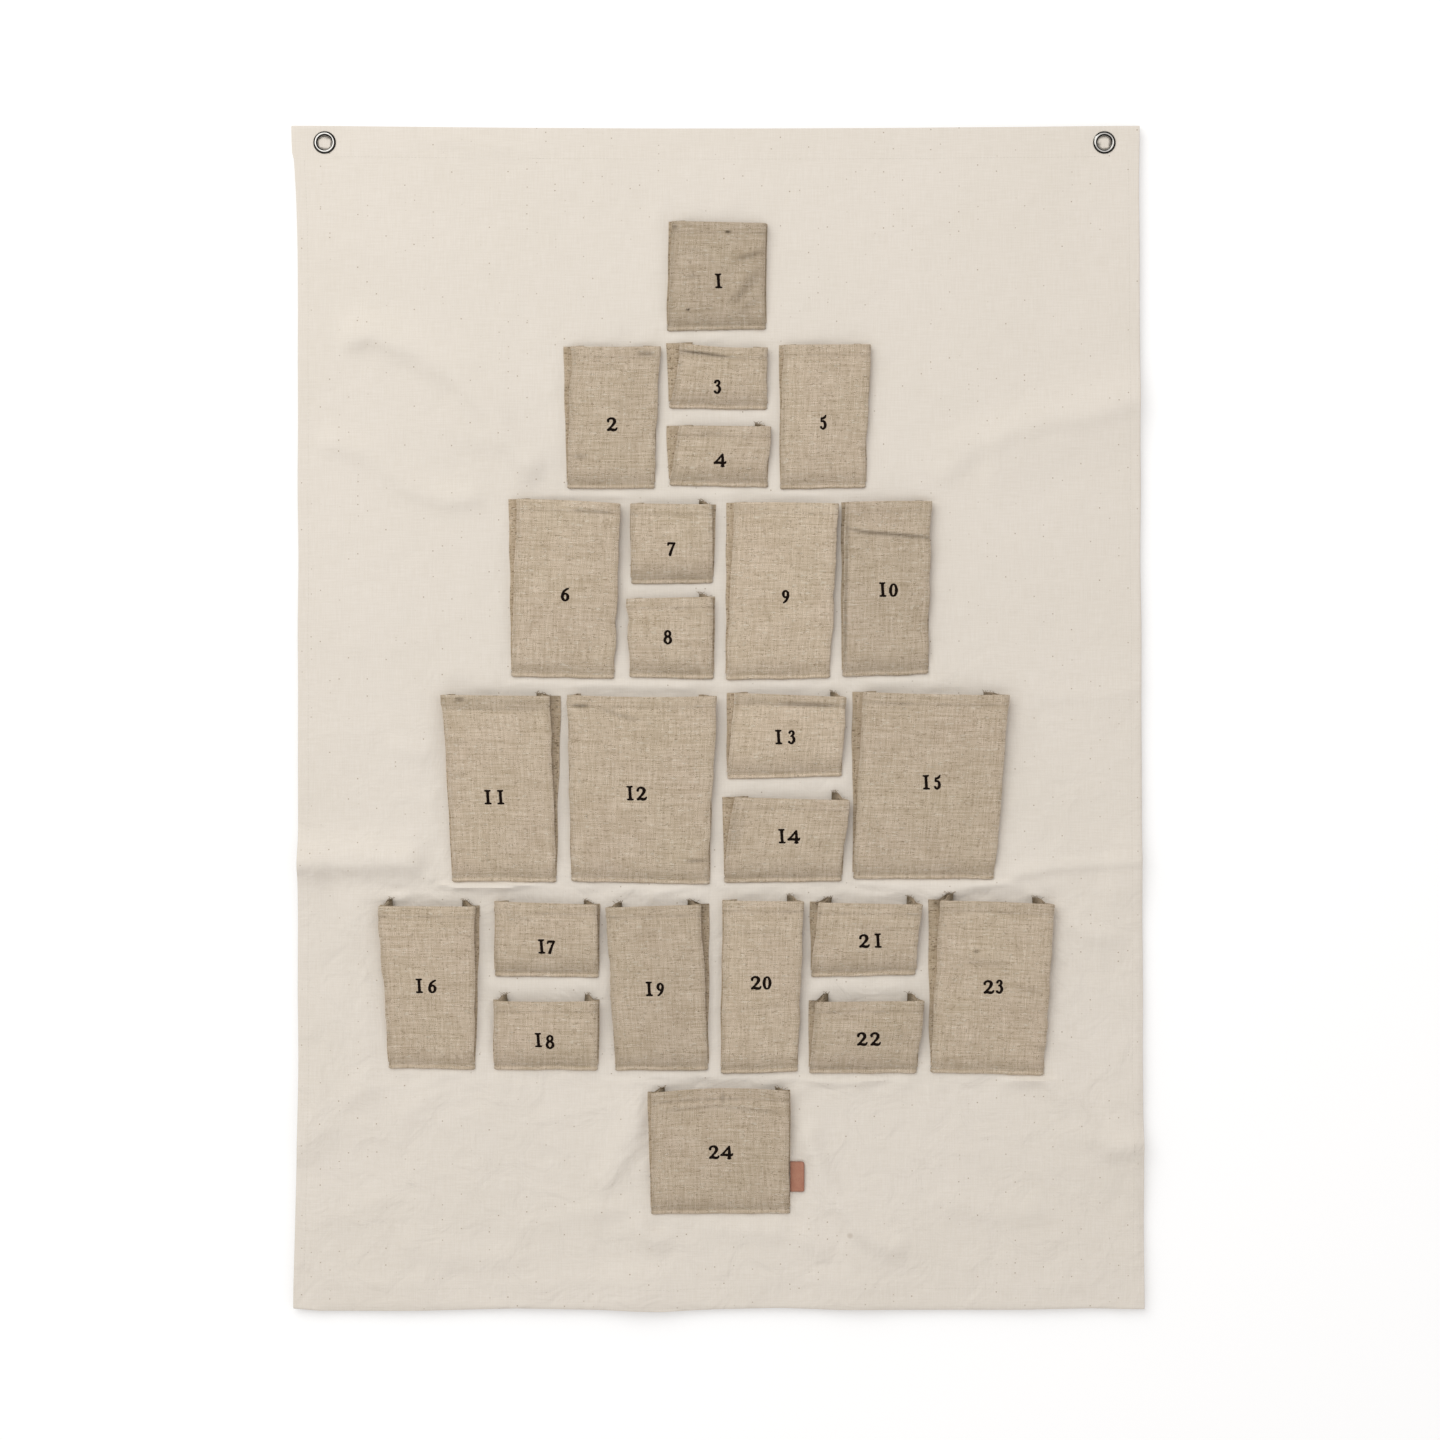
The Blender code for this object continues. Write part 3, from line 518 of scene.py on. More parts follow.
# How far the seams lie in from the finished edges
TOP_SEAM, SIDE_SEAM, FOOT_SEAM = 0.0312, 0.0105, 0.0213
hem_seams = []
for back in (False, True):
    for start, end in (((0.030, TOP_SEAM), (CLOTH_WIDTH - 0.030, TOP_SEAM)),
                       ((SIDE_SEAM, 0.034), (SIDE_SEAM, CLOTH_HEIGHT - 0.024)),
                       ((CLOTH_WIDTH - SIDE_SEAM, 0.034), (CLOTH_WIDTH - SIDE_SEAM, CLOTH_HEIGHT - 0.024)),
                       ((0.030, CLOTH_HEIGHT - FOOT_SEAM), (CLOTH_WIDTH - 0.030, CLOTH_HEIGHT - FOOT_SEAM))):
        hem_seams.append(hem_seam(start, end, back))
hem_stitches = sew("cloth_hem_stitches", hem_seams, cream_thread)
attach(wall_cloth, "wall_hanging")
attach(hem_stitches, "wall_hanging")
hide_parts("wall_cloth")

# The eyelets and washers: nickel-plated steel, pressed from thin sheet. Each eyelet is a tube with a domed
# flange in front, pushed through the hem and rolled back over a domed washer behind it.

EYELET_PROFILE = (      # radius and depth in mm, round the pressed sheet
    (11.0, -3.22), (11.5, -3.3), (11.58, -3.62), (11.4, -3.84), (10.9, -4.2), (10.4, -4.55), (10.0, -4.81),
    (9.6, -5.0), (9.2, -5.06), (8.8, -5.04), (8.4, -4.88), (8.0, -4.6), (7.5, -4.2), (7.1, -3.85),
    (6.8, -3.5), (6.62, -3.1), (6.6, -1.0), (6.66, -0.4), (6.95, -0.06), (7.5, -0.02), (8.2, -0.1),
    (8.6, -0.38), (8.3, -0.5), (7.6, -0.45), (7.25, -0.8), (7.2, -1.4), (7.2, -3.1), (7.5, -3.2))
WASHER_PROFILE = (
    (7.3, -0.95), (7.5, -0.62), (8.4, -0.55), (9.4, -0.62), (10.3, -1.0), (10.85, -1.5), (10.9, -1.72),
    (10.75, -1.77), (10.4, -1.45), (9.4, -1.02), (8.4, -0.9))


def make_nickel():
    """Bright nickel plate on pressed steel: slightly warm grey, polished, with fine hairlines and a little
    dulling where it has been handled."""
    material, tree, shader = new_material("bright_nickel_plate")
    place = add(tree, "TexCoord").outputs["Object"]
    dull = add(tree, "TexNoise", {"Vector": place, "Scale": 260.0, "Detail": 3.0})
    tone = add(tree, "MixRGB", {"Fac": dull, 1: "#ABA8A3", 2: "#C6C4C0"})
    rough = add(tree, "MapRange", {"Value": dull, "From Min": 0.3, "From Max": 0.7, "To Min": 0.15,
                                   "To Max": 0.08})
    hairline = add(tree, "TexNoise", {"Vector": place, "Scale": 1500.0, "Detail": 1.0})
    bump = add(tree, "Bump", {"Height": hairline, "Strength": 0.1, "Distance": 0.0001})
    wire(shader, {"Base Color": tone, "Normal": bump, "Roughness": rough, "Metallic": 1.0})
    return material


def turn_ring(name, profile, x):
    """Spins a closed profile about an eyelet's axis."""
    corners = [(x + radius / 1000, depth / 1000, 0) for radius, depth in profile]
    edges = [(place, (place + 1) % len(corners)) for place in range(len(corners))]
    ring = add_mesh(name, corners, edges, [], nickel)
    pick(ring)
    bpy.ops.object.mode_set(mode="EDIT")
    bpy.ops.mesh.select_all(action="SELECT")
    bpy.ops.mesh.spin(steps=64, angle=tau, center=(x, 0, 0), axis=(0, 1, 0))
    bpy.ops.mesh.select_all(action="SELECT")
    bpy.ops.mesh.remove_doubles(threshold=0.00001)
    bpy.ops.mesh.normals_make_consistent(inside=False)
    bpy.ops.object.mode_set(mode="OBJECT")
    smooth(ring, 55)
    return ring


nickel = make_nickel()
for side, x in EYELET_X.items():
    eyelet = turn_ring(f"{side}_pressed_eyelet", EYELET_PROFILE, x)
    washer = turn_ring(f"{side}_domed_washer", WASHER_PROFILE, x)
    for piece, node in ((eyelet, f"{side}_eyelet"), (washer, f"{side}_washer")):
        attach(piece, "wall_hanging")
        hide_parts(node)

# The pockets: natural linen. A front with a hemmed mouth and a rolled foot is sewn down along its foot, and
# a strip of the same linen is pleated down each side of it, so that it stands open. Each is one sheet, folded
# as it was sewn.

# For each pocket, in mm: its front's corners (top left, top right, foot left, foot right), the top of the
# seams of its two pleats, how far its mouth bows up in the middle, how far the two pleats rise above it, how
# far its two sides bow to the right, and the middle of its number
POCKETS = {
    1: ((-42.1, -80.6), (52.2, -82.7), (-48.2, -191.2), (52.2, -189.7),
        (-46.2, 53.3), 0, (0.8, 0.8), (0, 0), (4.1, -141.5)),
    2: ((-144.6, -207.4), (-55.3, -207.4), (-149.6, -351.0), (-60.4, -351.0),
        (-153.2, -59.3), -0.6, (0.8, 0.8), (0, 0), (-103.5, -286.6)),
    3: ((-35.0, -203.9), (54.3, -208.5), (-46.2, -269.3), (53.3, -271.4),
        (-49.2, 52.2), -2.2, (0.8, 0.8), (2.5, 0), (3.0, -248.5)),
    4: ((-35.0, -287.6), (57.3, -288.6), (-45.6, -347.9), (54.3, -350.0),
        (-48.7, 54.3), 0, (0.8, 3), (0, 0), (5.6, -323.1)),
    5: ((69.5, -205.9), (157.7, -205.4), (66.4, -352.0), (153.7, -350.0),
        (65.4, 153.7), 0, (0.8, 0.8), (0, 0), (110.1, -284.5)),
    6: ((-199.3, -362.1), (-95.9, -366.7), (-206.4, -541.7), (-101.4, -543.7),
        (-208.5, -101.9), 0.8, (0.8, 0.8), (0, 0), (-151.1, -459.0)),
    7: ((-86.7, -366.7), (-2.5, -367.7), (-84.7, -447.9), (-1.5, -446.8),
        (-85.7, 1.5), 0, (1, 4), (0, 0), (-43.6, -412.9)),
    8: ((-88.8, -463.1), (-2.5, -461.0), (-86.7, -542.2), (-0.5, -544.2),
        (-85.7, 0.5), 0, (1, 3), (0, 0), (-47.2, -502.1)),
    9: ((20.8, -365.7), (125.3, -366.7), (11.2, -545.2), (117.2, -543.2),
        (12.2, 118.2), 0.6, (0.8, 0.8), (0, 0), (72.0, -461.0)),
    10: ((132.4, -365.2), (219.6, -364.2), (129.3, -541.7), (217.1, -539.2),
         (128.3, 216.6), 0.5, (0.8, 0.8), (0, 0), (176.0, -453.9)),
    11: ((-278.5, -560.5), (-166.9, -561.5), (-266.3, -749.1), (-160.3, -750.1),
         (-275.4, -155.7), 0, (1, 3), (3.5, 0), (-222.7, -663.9)),
    12: ((-149.6, -560.5), (1.5, -561.5), (-145.6, -749.1), (-4.6, -752.2),
         (-148.6, -2.5), -1.5, (1.5, 1.5), (0, 0), (-78.6, -659.9)),
    13: ((20.8, -558.4), (133.4, -562.5), (12.7, -645.7), (129.3, -642.6),
         (12.7, 130.4), 0, (1, 5), (0, 0), (71.5, -603.1)),
    14: ((20.8, -663.9), (136.4, -667.0), (9.6, -750.7), (129.3, -749.1),
         (8.6, 132.4), 0, (1, 8), (-1.5, 0), (75.6, -703.5)),
    15: ((150.6, -557.4), (297.7, -560.5), (140.5, -747.1), (283.5, -746.6),
         (139.5, 285.6), -0.8, (1, 3), (0, 0), (219.6, -648.7)),
    16: ((-341.3, -774.0), (-242.9, -774.5), (-330.2, -938.8), (-242.4, -939.8),
         (-339.3, -237.9), 0, (7, 6), (0, 0), (-291.6, -854.6)),
    17: ((-223.2, -769.4), (-119.2, -772.5), (-222.7, -845.5), (-117.2, -846.5),
         (-222.7, -116.1), 0, (1, 4), (0, 0), (-169.9, -815.1)),
    18: ((-224.7, -869.8), (-116.1, -869.8), (-223.7, -939.8), (-118.2, -940.9),
         (-223.7, -116.1), -1, (6, 6), (0, 0), (-171.9, -910.4)),
    19: ((-110.1, -775.5), (-14.7, -772.5), (-100.9, -940.9), (-6.6, -940.9),
         (-107.0, -5.1), 0, (5, 4), (0, 1), (-60.4, -857.7)),
    20: ((8.6, -768.4), (90.3, -769.4), (6.1, -944.4), (84.7, -942.4),
         (8.1, 86.7), 0, (1, 6), (0, 0), (47.2, -851.6)),
    21: ((106.0, -770.4), (210.5, -772.5), (97.9, -846.5), (203.9, -844.0),
         (96.9, 208.5), 0, (5, 8), (0, 0), (157.7, -809.0)),
    22: ((103.0, -870.9), (212.0, -869.8), (95.9, -943.9), (205.4, -943.9),
         (95.9, 208.5), 0, (8, 7), (0, 0), (156.2, -908.4)),
    23: ((228.7, -768.4), (343.4, -772.5), (218.6, -942.9), (334.2, -945.9),
         (216.6, 335.3), 0.8, (7, 7), (0, 0), (282.0, -855.6)),
    24: ((-63.4, -963.2), (76.6, -961.1), (-64.4, -1086.4), (76.6, -1085.9),
         (-67.5, 76.6), 4, (5, 3), (0, 0), (6.6, -1023.0)),
}

# Creases of each pocket's front, in mm: line, rise, the widths of the two sides, and how much dirt and
# painted shade it holds
FRONT_CREASES = {
    1: ((((18, -121), (53, -112)), 2.2, 6, 2.5, 2.2),
        (((18, -170), (34, -148), (52, -127)), 3.4, 9, 7, 1.3),
        (((24, -178), (40, -164), (52, -160)), 1.2, 7, 5, 0.8),
        (((-38, -111), (-16, -113), (-3, -126)), 1.3, 6, 5, 0.6), (((10, -92), (17, -93)), 0.2, 2, 1, 7.0),
        (((-44, -88), (-37, -88)), 0.2, 2, 2, 4.0), (((-29, -171), (-25, -171)), 0.1, 2, 1, 9.0),
        (((-30, -138), (-14, -138)), 0.1, 2, 2, 2.0)),
    2: ((((-80, -216), (-58, -216)), 0.2, 3, 2, 5.0), (((-146, -320), (-128, -321)), 0.3, 4, 3, 2.4)),
    3: ((((-42, -212), (-10, -216), (20, -219.5)), 0.5, 3, 1, 7.0),),
    4: ((((-20, -296), (12, -296.5)), 0.2, 3, 2, 2.0),),
    6: ((((-150, -374), (-97, -377)), 0.4, 3, 2, 2.5),),
    10: ((((126, -391), (150, -396), (188, -399), (228, -403)), 3.0, 5, 1.4, 4.4),
         (((134, -372), (132, -450), (130.5, -536)), 0, 2, 1.5, 3.0)),
    11: ((((-281, -567.5), (-163, -569)), 0.4, 2.5, 2, 1.4),
         (((-281, -574.5), (-163, -575.5)), 0.5, 2.5, 2, 2.2),
         (((-264, -565.6), (-252, -566)), 0.2, 2, 2, 5.0), (((-272, -606), (-250, -612)), 0.9, 7, 4, 0.7),
         (((-270, -645), (-248, -640)), 0.9, 7, 4, 0.7)),
    12: ((((-121, -573), (-96, -582), (-74, -588)), 1.0, 4, 2.5, 2.4),
         (((-32, -730), (-4, -729)), 0.3, 2, 2, 4.0), (((-147, -572.5), (-125, -572.5)), 0.2, 2, 2, 5.0)),
    13: ((((56, -569.5), (133, -572.5)), 0.8, 4, 2, 4.2), (((22, -566), (60, -569)), 0.3, 3, 2, 1.8)),
    14: ((((22, -672), (14, -720)), 1.3, 5, 3, 2.0), (((30, -672), (17, -722)), 1.0, 4, 3, 1.4)),
    15: ((((152, -569), (210, -571)), 0.2, 3, 2, 0.9),),
    17: ((((-218, -787), (-180, -788)), 0.6, 5, 3, 1.2),),
    19: ((((-90, -800), (-40, -803)), 0.4, 7, 5, 0.4),),
    20: ((((12, -800), (84, -803)), 0.6, 7, 4, 0.5), (((14, -880), (80, -876)), 0.5, 7, 4, 0.5)),
    21: ((((104, -795), (206, -799)), 0.6, 7, 4, 0.5),),
    22: ((((100, -905), (208, -908)), 0.5, 7, 4, 0.5),),
    23: ((((244, -829), (300, -835)), 1.1, 8, 4, 0.9), (((300, -855), (335, -865)), 1.0, 7, 4, 0.9),
         (((325, -919), (336, -921)), 0.7, 5, 3, 1.6), (((262, -820.5), (268, -821)), 0.2, 2, 2, 5.0)),
    24: ((((7, -961), (7, -975)), 0.8, 3, 2, 3.0), (((-63, -983), (0, -977), (75, -984)), 0.4, 3, 2, 1.8)),
}

# How dark each front has become, 1 being 7.5% of a dark brown, and how much its doubled mouth adds to it,
# where that isn't 0.4
FRONT_SHADES = {1: 2.6, 2: 1.4, 3: 1.2, 4: 1.2, 5: 1.0, 6: 0.7, 7: 0.7, 8: 0.7, 9: 0.2, 10: 1.8, 11: 0.7,
                12: 0.8, 13: 0, 14: 0.9, 15: 1.2, 16: 0.9, 17: 0.9, 18: 0.9, 19: 1.5, 20: 0.7, 21: 0.9,
                22: 1.5, 23: 0.9, 24: 1.4}
HEM_SHADES = {2: 0.1, 5: 0.1, 6: 0, 9: 0.1, 10: 0, 11: 1.0, 12: 0.3, 13: 1.5, 16: 0.1, 23: 0.9, 24: 0.9}

LINEN = 0.0007           # its thickness
MOUTH_HEM = 0.0110       # the doubled strip along the mouth
HEM_SEAM_INSET = 0.0016  # from that strip's lower edge to its seam
RIM_SEAM_HEIGHT = 0.0070
PLEAT = 0.0125           # how deep a pleat folds in
SEAM_SHOWS = 0.0017      # how much of a pleat shows beside the front
# How far the front stands off the cloth at its mouth and at its foot, and bellies out between
MOUTH_OPENING, RIM_DEPTH, BELLY = 0.0100, 0.0030, 0.0025
# The rolled foot, as height and depth in mm
RIM = ((0.35, 0.4), (0.0, 0.9), (0.1, 1.5), (0.5, 2.0), (1.2, 2.3), (1.9, 2.15), (2.6, 1.7), (3.6, 1.5),
       (5.0, 1.6))
FOLD_HALF = 0.00042      # half the thickness of a folded edge
SUNK = 0.00004           # how far the stitches sink into the front

# The grid of a pocket's sheet: the columns of its two pleats, from the cloth to the front, and of its front
PLEAT_COLUMNS = 18
PLEATS = (range(PLEAT_COLUMNS), range(-1, -1 - PLEAT_COLUMNS, -1))
FRONT = slice(PLEAT_COLUMNS, -PLEAT_COLUMNS)
ROW_STEP, COLUMN_STEP = 0.0017, 0.0021
# The rows of the doubled mouth, measured down from its edge
HEM_ROWS = (0.0102, 0.0096, 0.0080, 0.0055, 0.0030, 0.0014, 0.0005, 0.0)


def make_linen(name, shade, speckle):
    """Natural linen in plain weave: matt grey-tan, each yarn with its own tone that changes along it, with
    thin dark slubs, and painted shade between the threads. Its threads lie 0.9 mm apart and are drawn 1.1 mm
    apart, or the render couldn't show them. The copy that the pleats show is a shade darker, painted shade
    for the pleats' hollows, and more speckled."""
    material, tree, shader = new_material(name)
    place = add(tree, "UVMap", uv_map="weave").outputs["UV"]
    streaks = []
    for scale in ((20, 640, 1), (520, 26, 1)):
        run = add(tree, "Mapping", {"Vector": place, "Scale": scale})
        run = add(tree, "TexNoise", {"Vector": run, "Scale": 1.0, "Detail": 1.5}, noise_dimensions="2D")
        streaks.append(add(tree, "MapRange", {"Value": run, "From Min": 0.3, "From Max": 0.66}))
    sway = add(tree, "TexNoise", {"Vector": place, "Scale": 40.0, "Detail": 1.0}).outputs["Color"]
    grid = add(tree, "VectorMath", {0: sway, 1: (0.0022, 0.0022, 0), 2: place}, operation="MULTIPLY_ADD")
    grid = add(tree, "VectorMath", {0: grid, "Scale": 910.0}, operation="SCALE")
    thread = add(tree, "VectorMath", {0: grid}, operation="FLOOR")
    along_x, along_y = add(tree, "SeparateXYZ", {0: grid}).outputs[:2]
    thread_x, thread_y = add(tree, "SeparateXYZ", {0: thread}).outputs[:2]
    weft = add(tree, "CombineXYZ", {0: along_x, 1: thread_y})
    warp = add(tree, "CombineXYZ", {0: along_y, 1: thread_x})

    def yarn_tone(yarn, seed, stretch, low, high):
        """A tone that differs from thread to thread and changes along each of them."""
        run = add(tree, "Mapping", {"Vector": yarn, "Location": (seed, seed, 0), "Scale": (stretch, 3.7, 1)})
        tone = add(tree, "TexNoise", {"Vector": run, "Scale": 1.0, "Detail": 1.0}, noise_dimensions="2D")
        return add(tree, "MapRange", {"Value": tone, "From Min": low, "From Max": high})

    cloudy = add(tree, "TexNoise", {"Vector": place, "Scale": 16.0, "Detail": 2.0})
    colour = add(tree, "MixRGB", {"Fac": cloudy, 1: "#F5E4D3", 2: "#F3E4CE"})
    over = add(tree, "TexChecker", {"Vector": grid, "Scale": 1.0}).outputs["Fac"]
    woven = add(tree, "MixRGB", {"Fac": over, 1: yarn_tone(weft, 0, 0.06, 0.3, 0.7),
                                 2: yarn_tone(warp, 50, 0.06, 0.3, 0.7)})
    patchy = add(tree, "Mapping", {"Vector": place, "Scale": (30, 75, 1)})
    patchy = add(tree, "TexNoise", {"Vector": patchy, "Scale": 1.0, "Detail": 3.0})
    patchy = add(tree, "MapRange", {"Value": patchy, "From Min": 0.3, "From Max": 0.7})
    # The weave's cushion: its relief, and the same pattern darkening the colour between the threads as
    # painted shade
    pillow_and_shade = [add(tree, "TexWave", {"Vector": grid, "Scale": pi / 10}, bands_direction=axis).outputs["Fac"]
              for axis in ("X", "Y")]
    pillow_and_shade = add(tree, "Math", {0: pillow_and_shade[0], 1: pillow_and_shade[1]}, operation="MULTIPLY")
    for share, low in ((woven, "#E2E0DA"), (patchy, "#F8F7F5"), (pillow_and_shade, "#E6E3DF"), (streaks[0], "#EFEDE8"),
                       (streaks[1], "#F4F2EF")):
        tone = add(tree, "MixRGB", {"Fac": share, 1: low, 2: "#FFFFFF"})
        colour = add(tree, "MixRGB", {"Fac": 1.0, 1: colour, 2: tone}, blend_type="MULTIPLY")
    for yarn, seed, stretch, low, high, strength, tone in (
            (weft, 20, 0.24, 0.70 - 0.1 * speckle, 0.74, speckle, "#7C6A52"),
            (warp, 70, 0.45, 0.74 - 0.1 * speckle, 0.76, speckle, "#6E5C46"),
            (weft, 90, 0.16, 0.66, 0.76, 0.2, "#FFFFF2")):
        slub = yarn_tone(yarn, seed, stretch, low, high)
        slub = add(tree, "Math", {0: slub, 1: strength}, operation="MULTIPLY")
        colour = add(tree, "MixRGB", {"Fac": slub, 1: colour, 2: tone})
    # painted shade: the pleats' copy is multiplied by a darker tone
    colour = add(tree, "MixRGB", {"Fac": 1.0, 1: colour, 2: shade}, blend_type="MULTIPLY")
    # The pocket's own tone, dirt and wear, and painted shade along its edges, creases and foot groove and in
    # its pleats' hollows, all darken it towards dark brown
    wear_and_shade = add(tree, "Attribute", attribute_name="wear_and_shade").outputs["Fac"]
    wear_and_shade = add(tree, "Math", {0: wear_and_shade, 1: 0.075}, operation="MULTIPLY")
    colour = add(tree, "MixRGB", {"Fac": wear_and_shade, 1: colour, 2: "#33260C"})
    height = add(tree, "Math", {0: woven, 1: 0.7, 2: pillow_and_shade}, operation="MULTIPLY_ADD")
    bump = add(tree, "Bump", {"Height": height, "Strength": 0.3, "Distance": 0.0003})
    wire(shader, {"Base Color": colour, "Normal": bump, "Roughness": 0.93, "Specular IOR Level": 0.2,
                  "Sheen Weight": 0.04})
    return material


class Pocket:
    """One pocket's pattern: every shape in it is asked for by a share across and a height in metres."""

    def __init__(self, number):
        *corners, self.backs, self.bow, self.ears, self.sides, self.middle = (
            np.array(measure) / 1000 for measure in POCKETS[number])
        self.number, self.corners = number, np.array(corners)
        self.height = self.corners[:2, 1].mean() - self.corners[2:, 1].mean()
        self.width = self.corners[3, 0] - self.corners[2, 0]

    def seam(self, side, height):
        """The line where a pleat is sewn to the cloth."""
        foot = self.corners[side + 2, 0]
        wave = 0.0007 * ripple(height, 0, 0.06, 60 + 2 * self.number + side)
        return foot + (self.backs[side] - foot) * height / self.height + wave

    def edge(self, side, height):
        """The front's left or right edge. The pleat's seam shows past it, unless the front leans over it."""
        share = height / self.height
        top, foot = self.corners[side, 0], self.corners[side + 2, 0]
        wave = 0.0008 * ripple(height, 0, 0.05, 20 + 2 * self.number + side) * ease(share / 0.1)
        wave = wave + 0.0003 * ripple(height, 0, 0.017, 120 + 2 * self.number + side)
        line = foot + (top - foot) * share + self.sides[side] * 4 * share * (1 - share) + wave
        inward = 1 if side == 0 else -1
        gap = (line - self.seam(side, height)) * inward
        shows = SEAM_SHOWS * ease((height - 0.002) / 0.012)
        eased = np.where(gap > 0, np.maximum(gap, shows), gap + shows * ease(1 + gap / 0.003))
        return self.seam(side, height) + eased * inward

    def level(self, across, height):
        """The z of a point of the front."""
        share = height / self.height
        foot = self.corners[2, 1] + (self.corners[3, 1] - self.corners[2, 1]) * across
        top = self.corners[0, 1] + (self.corners[1, 1] - self.corners[0, 1]) * across
        foot = foot + 0.0005 * ripple(across * self.width, 0, 0.05, 50 + self.number)
        foot = foot + 0.0002 * ripple(across * self.width, 0, 0.017, 550 + self.number)
        top = top + self.bow * 4 * across * (1 - across)
        return foot + (top - foot) * share

    def place(self, across, height):
        """The x and z of a point of the front."""
        left, right = self.edge(0, height), self.edge(1, height)
        return left + (right - left) * across, self.level(across, height)

    def stand_off(self, height):
        """How far the front's back stands off the cloth. The upper, smaller pockets open less."""
        share = np.sin(np.clip(height / self.height, 0, 1) * pi / 2)
        opening = MOUTH_OPENING * (0.62 if self.number < 6 else 0.8 if self.number < 11 else 1)
        return RIM_DEPTH + (opening - RIM_DEPTH) * share - 0.0020 * ease((0.022 - height) / 0.016)

    def front_depth(self, across, height):
        """The middle of the front's linen, above its rim."""
        share = np.clip(height / self.height, 0, 1)
        sides = np.sin(pi * np.clip(across, 0, 1))
        depth = self.stand_off(height) + 0.00045 + BELLY * np.sin(pi * share) * sides
        depth = depth + 0.0005 * ease((height - self.height + MOUTH_HEM + 0.0004) / 0.0008)
        x, z = self.place(across, height)
        calm = sides ** 0.5 * ease(height / 0.02)
        soft = 0.45 * ripple(x, z, 0.07, 100 + self.number) + 0.2 * ripple(x, z, 0.03, 200 + self.number)
        for line, rise, lit, shaded, dirt in FRONT_CREASES.get(self.number, ()):
            soft = soft + rise * crease(x * 1000, z * 1000, line, lit, shaded)
        return depth + 0.001 * soft * calm

    def dirt(self, across, height):
        """Dirt and painted shade along the front's creases, painted shadow in places along its mouth's seam,
        and painted shade in the groove above its rolled foot.
        """
        x, z = self.place(across, height)
        # painted shadow of the mouth's stitches: dark dashes in places along its seam line
        seam = np.exp(-((height - self.height + MOUTH_HEM - 0.0004) / 0.0010) ** 2)
        total = 2.2 * seam * ease((ripple(x, 0, 0.03, 500 + self.number) - 0.2) / 0.5)
        # dirt and painted shade along each crease
        for line, rise, lit, shaded, dirt in FRONT_CREASES.get(self.number, ()):
            width = 0.4 + 0.6 * shaded
            total = total + 1.3 * dirt * crease(x * 1000, z * 1000, line, width, width) ** 0.7
        # painted shade in the groove just above the rolled foot
        total = total + 1.9 * ease((height - 0.0026) / 0.0014) * ease((0.017 - height) / 0.0115)
        return total

    def on_front(self, x, z, proud):
        """The point of the front's outer face at x and z, and a little proud of it."""
        across, height = (x - self.corners[2, 0]) / self.width, z - self.corners[2:, 1].mean()
        for step in range(4):
            left, right = self.edge(0, height), self.edge(1, height)
            across = (x - left) / (right - left)
            low, high = self.level(across, 0), self.level(across, self.height)
            height = (z - low) / (high - low) * self.height
        depth = self.front_depth(across, height) + LINEN / 2 + proud
        return np.stack((x, FACE_Y - depth, z), axis=-1)

    def pleat_columns(self, side, heights):
        """The pleat's own columns, from its seam on the cloth to the front's corner: x and depth for each
        height, and how far up its top edge stands."""
        sign = 1 if side == 0 else -1
        back, corner = self.seam(side, heights), self.edge(side, heights)
        fold = (np.maximum(back, corner) if side == 0 else np.minimum(back, corner)) + sign * PLEAT
        stand_off = self.stand_off(heights)
        seam_depth, front_depth = 0.0006, stand_off - 0.0004
        middle = (seam_depth + front_depth) / 2
        columns = []
        for share in (1, 0.8, 0.6, 0.4, 0.22, 0.08):
            x = fold + (back - fold) * share
            rise = 0.1 + 0.9 * ease((0.6 - share) / 0.4)
            columns.append((x, middle - np.maximum(FOLD_HALF, share * (middle - seam_depth)), rise))
        for angle in (-pi / 3, 0, pi / 3):
            columns.append((fold + sign * FOLD_HALF * np.cos(angle) * 0.8,
                            middle + FOLD_HALF * np.sin(angle), 1.0))
        for share in (0.08, 0.22, 0.4, 0.6, 0.8, 0.93):
            x = fold + (corner + sign * FOLD_HALF - fold) * share
            rise = 0.2 * (1 - share ** 5) + 0.8 * ease((0.64 - share) / 0.36)
            columns.append((x, middle + np.maximum(FOLD_HALF, share * (front_depth - middle)), rise))
        for angle in (-pi / 3, 0, pi / 3):
            columns.append((corner + sign * FOLD_HALF * (1 - np.cos(angle)),
                            front_depth + FOLD_HALF + FOLD_HALF * np.sin(angle), 0.0))
        return columns


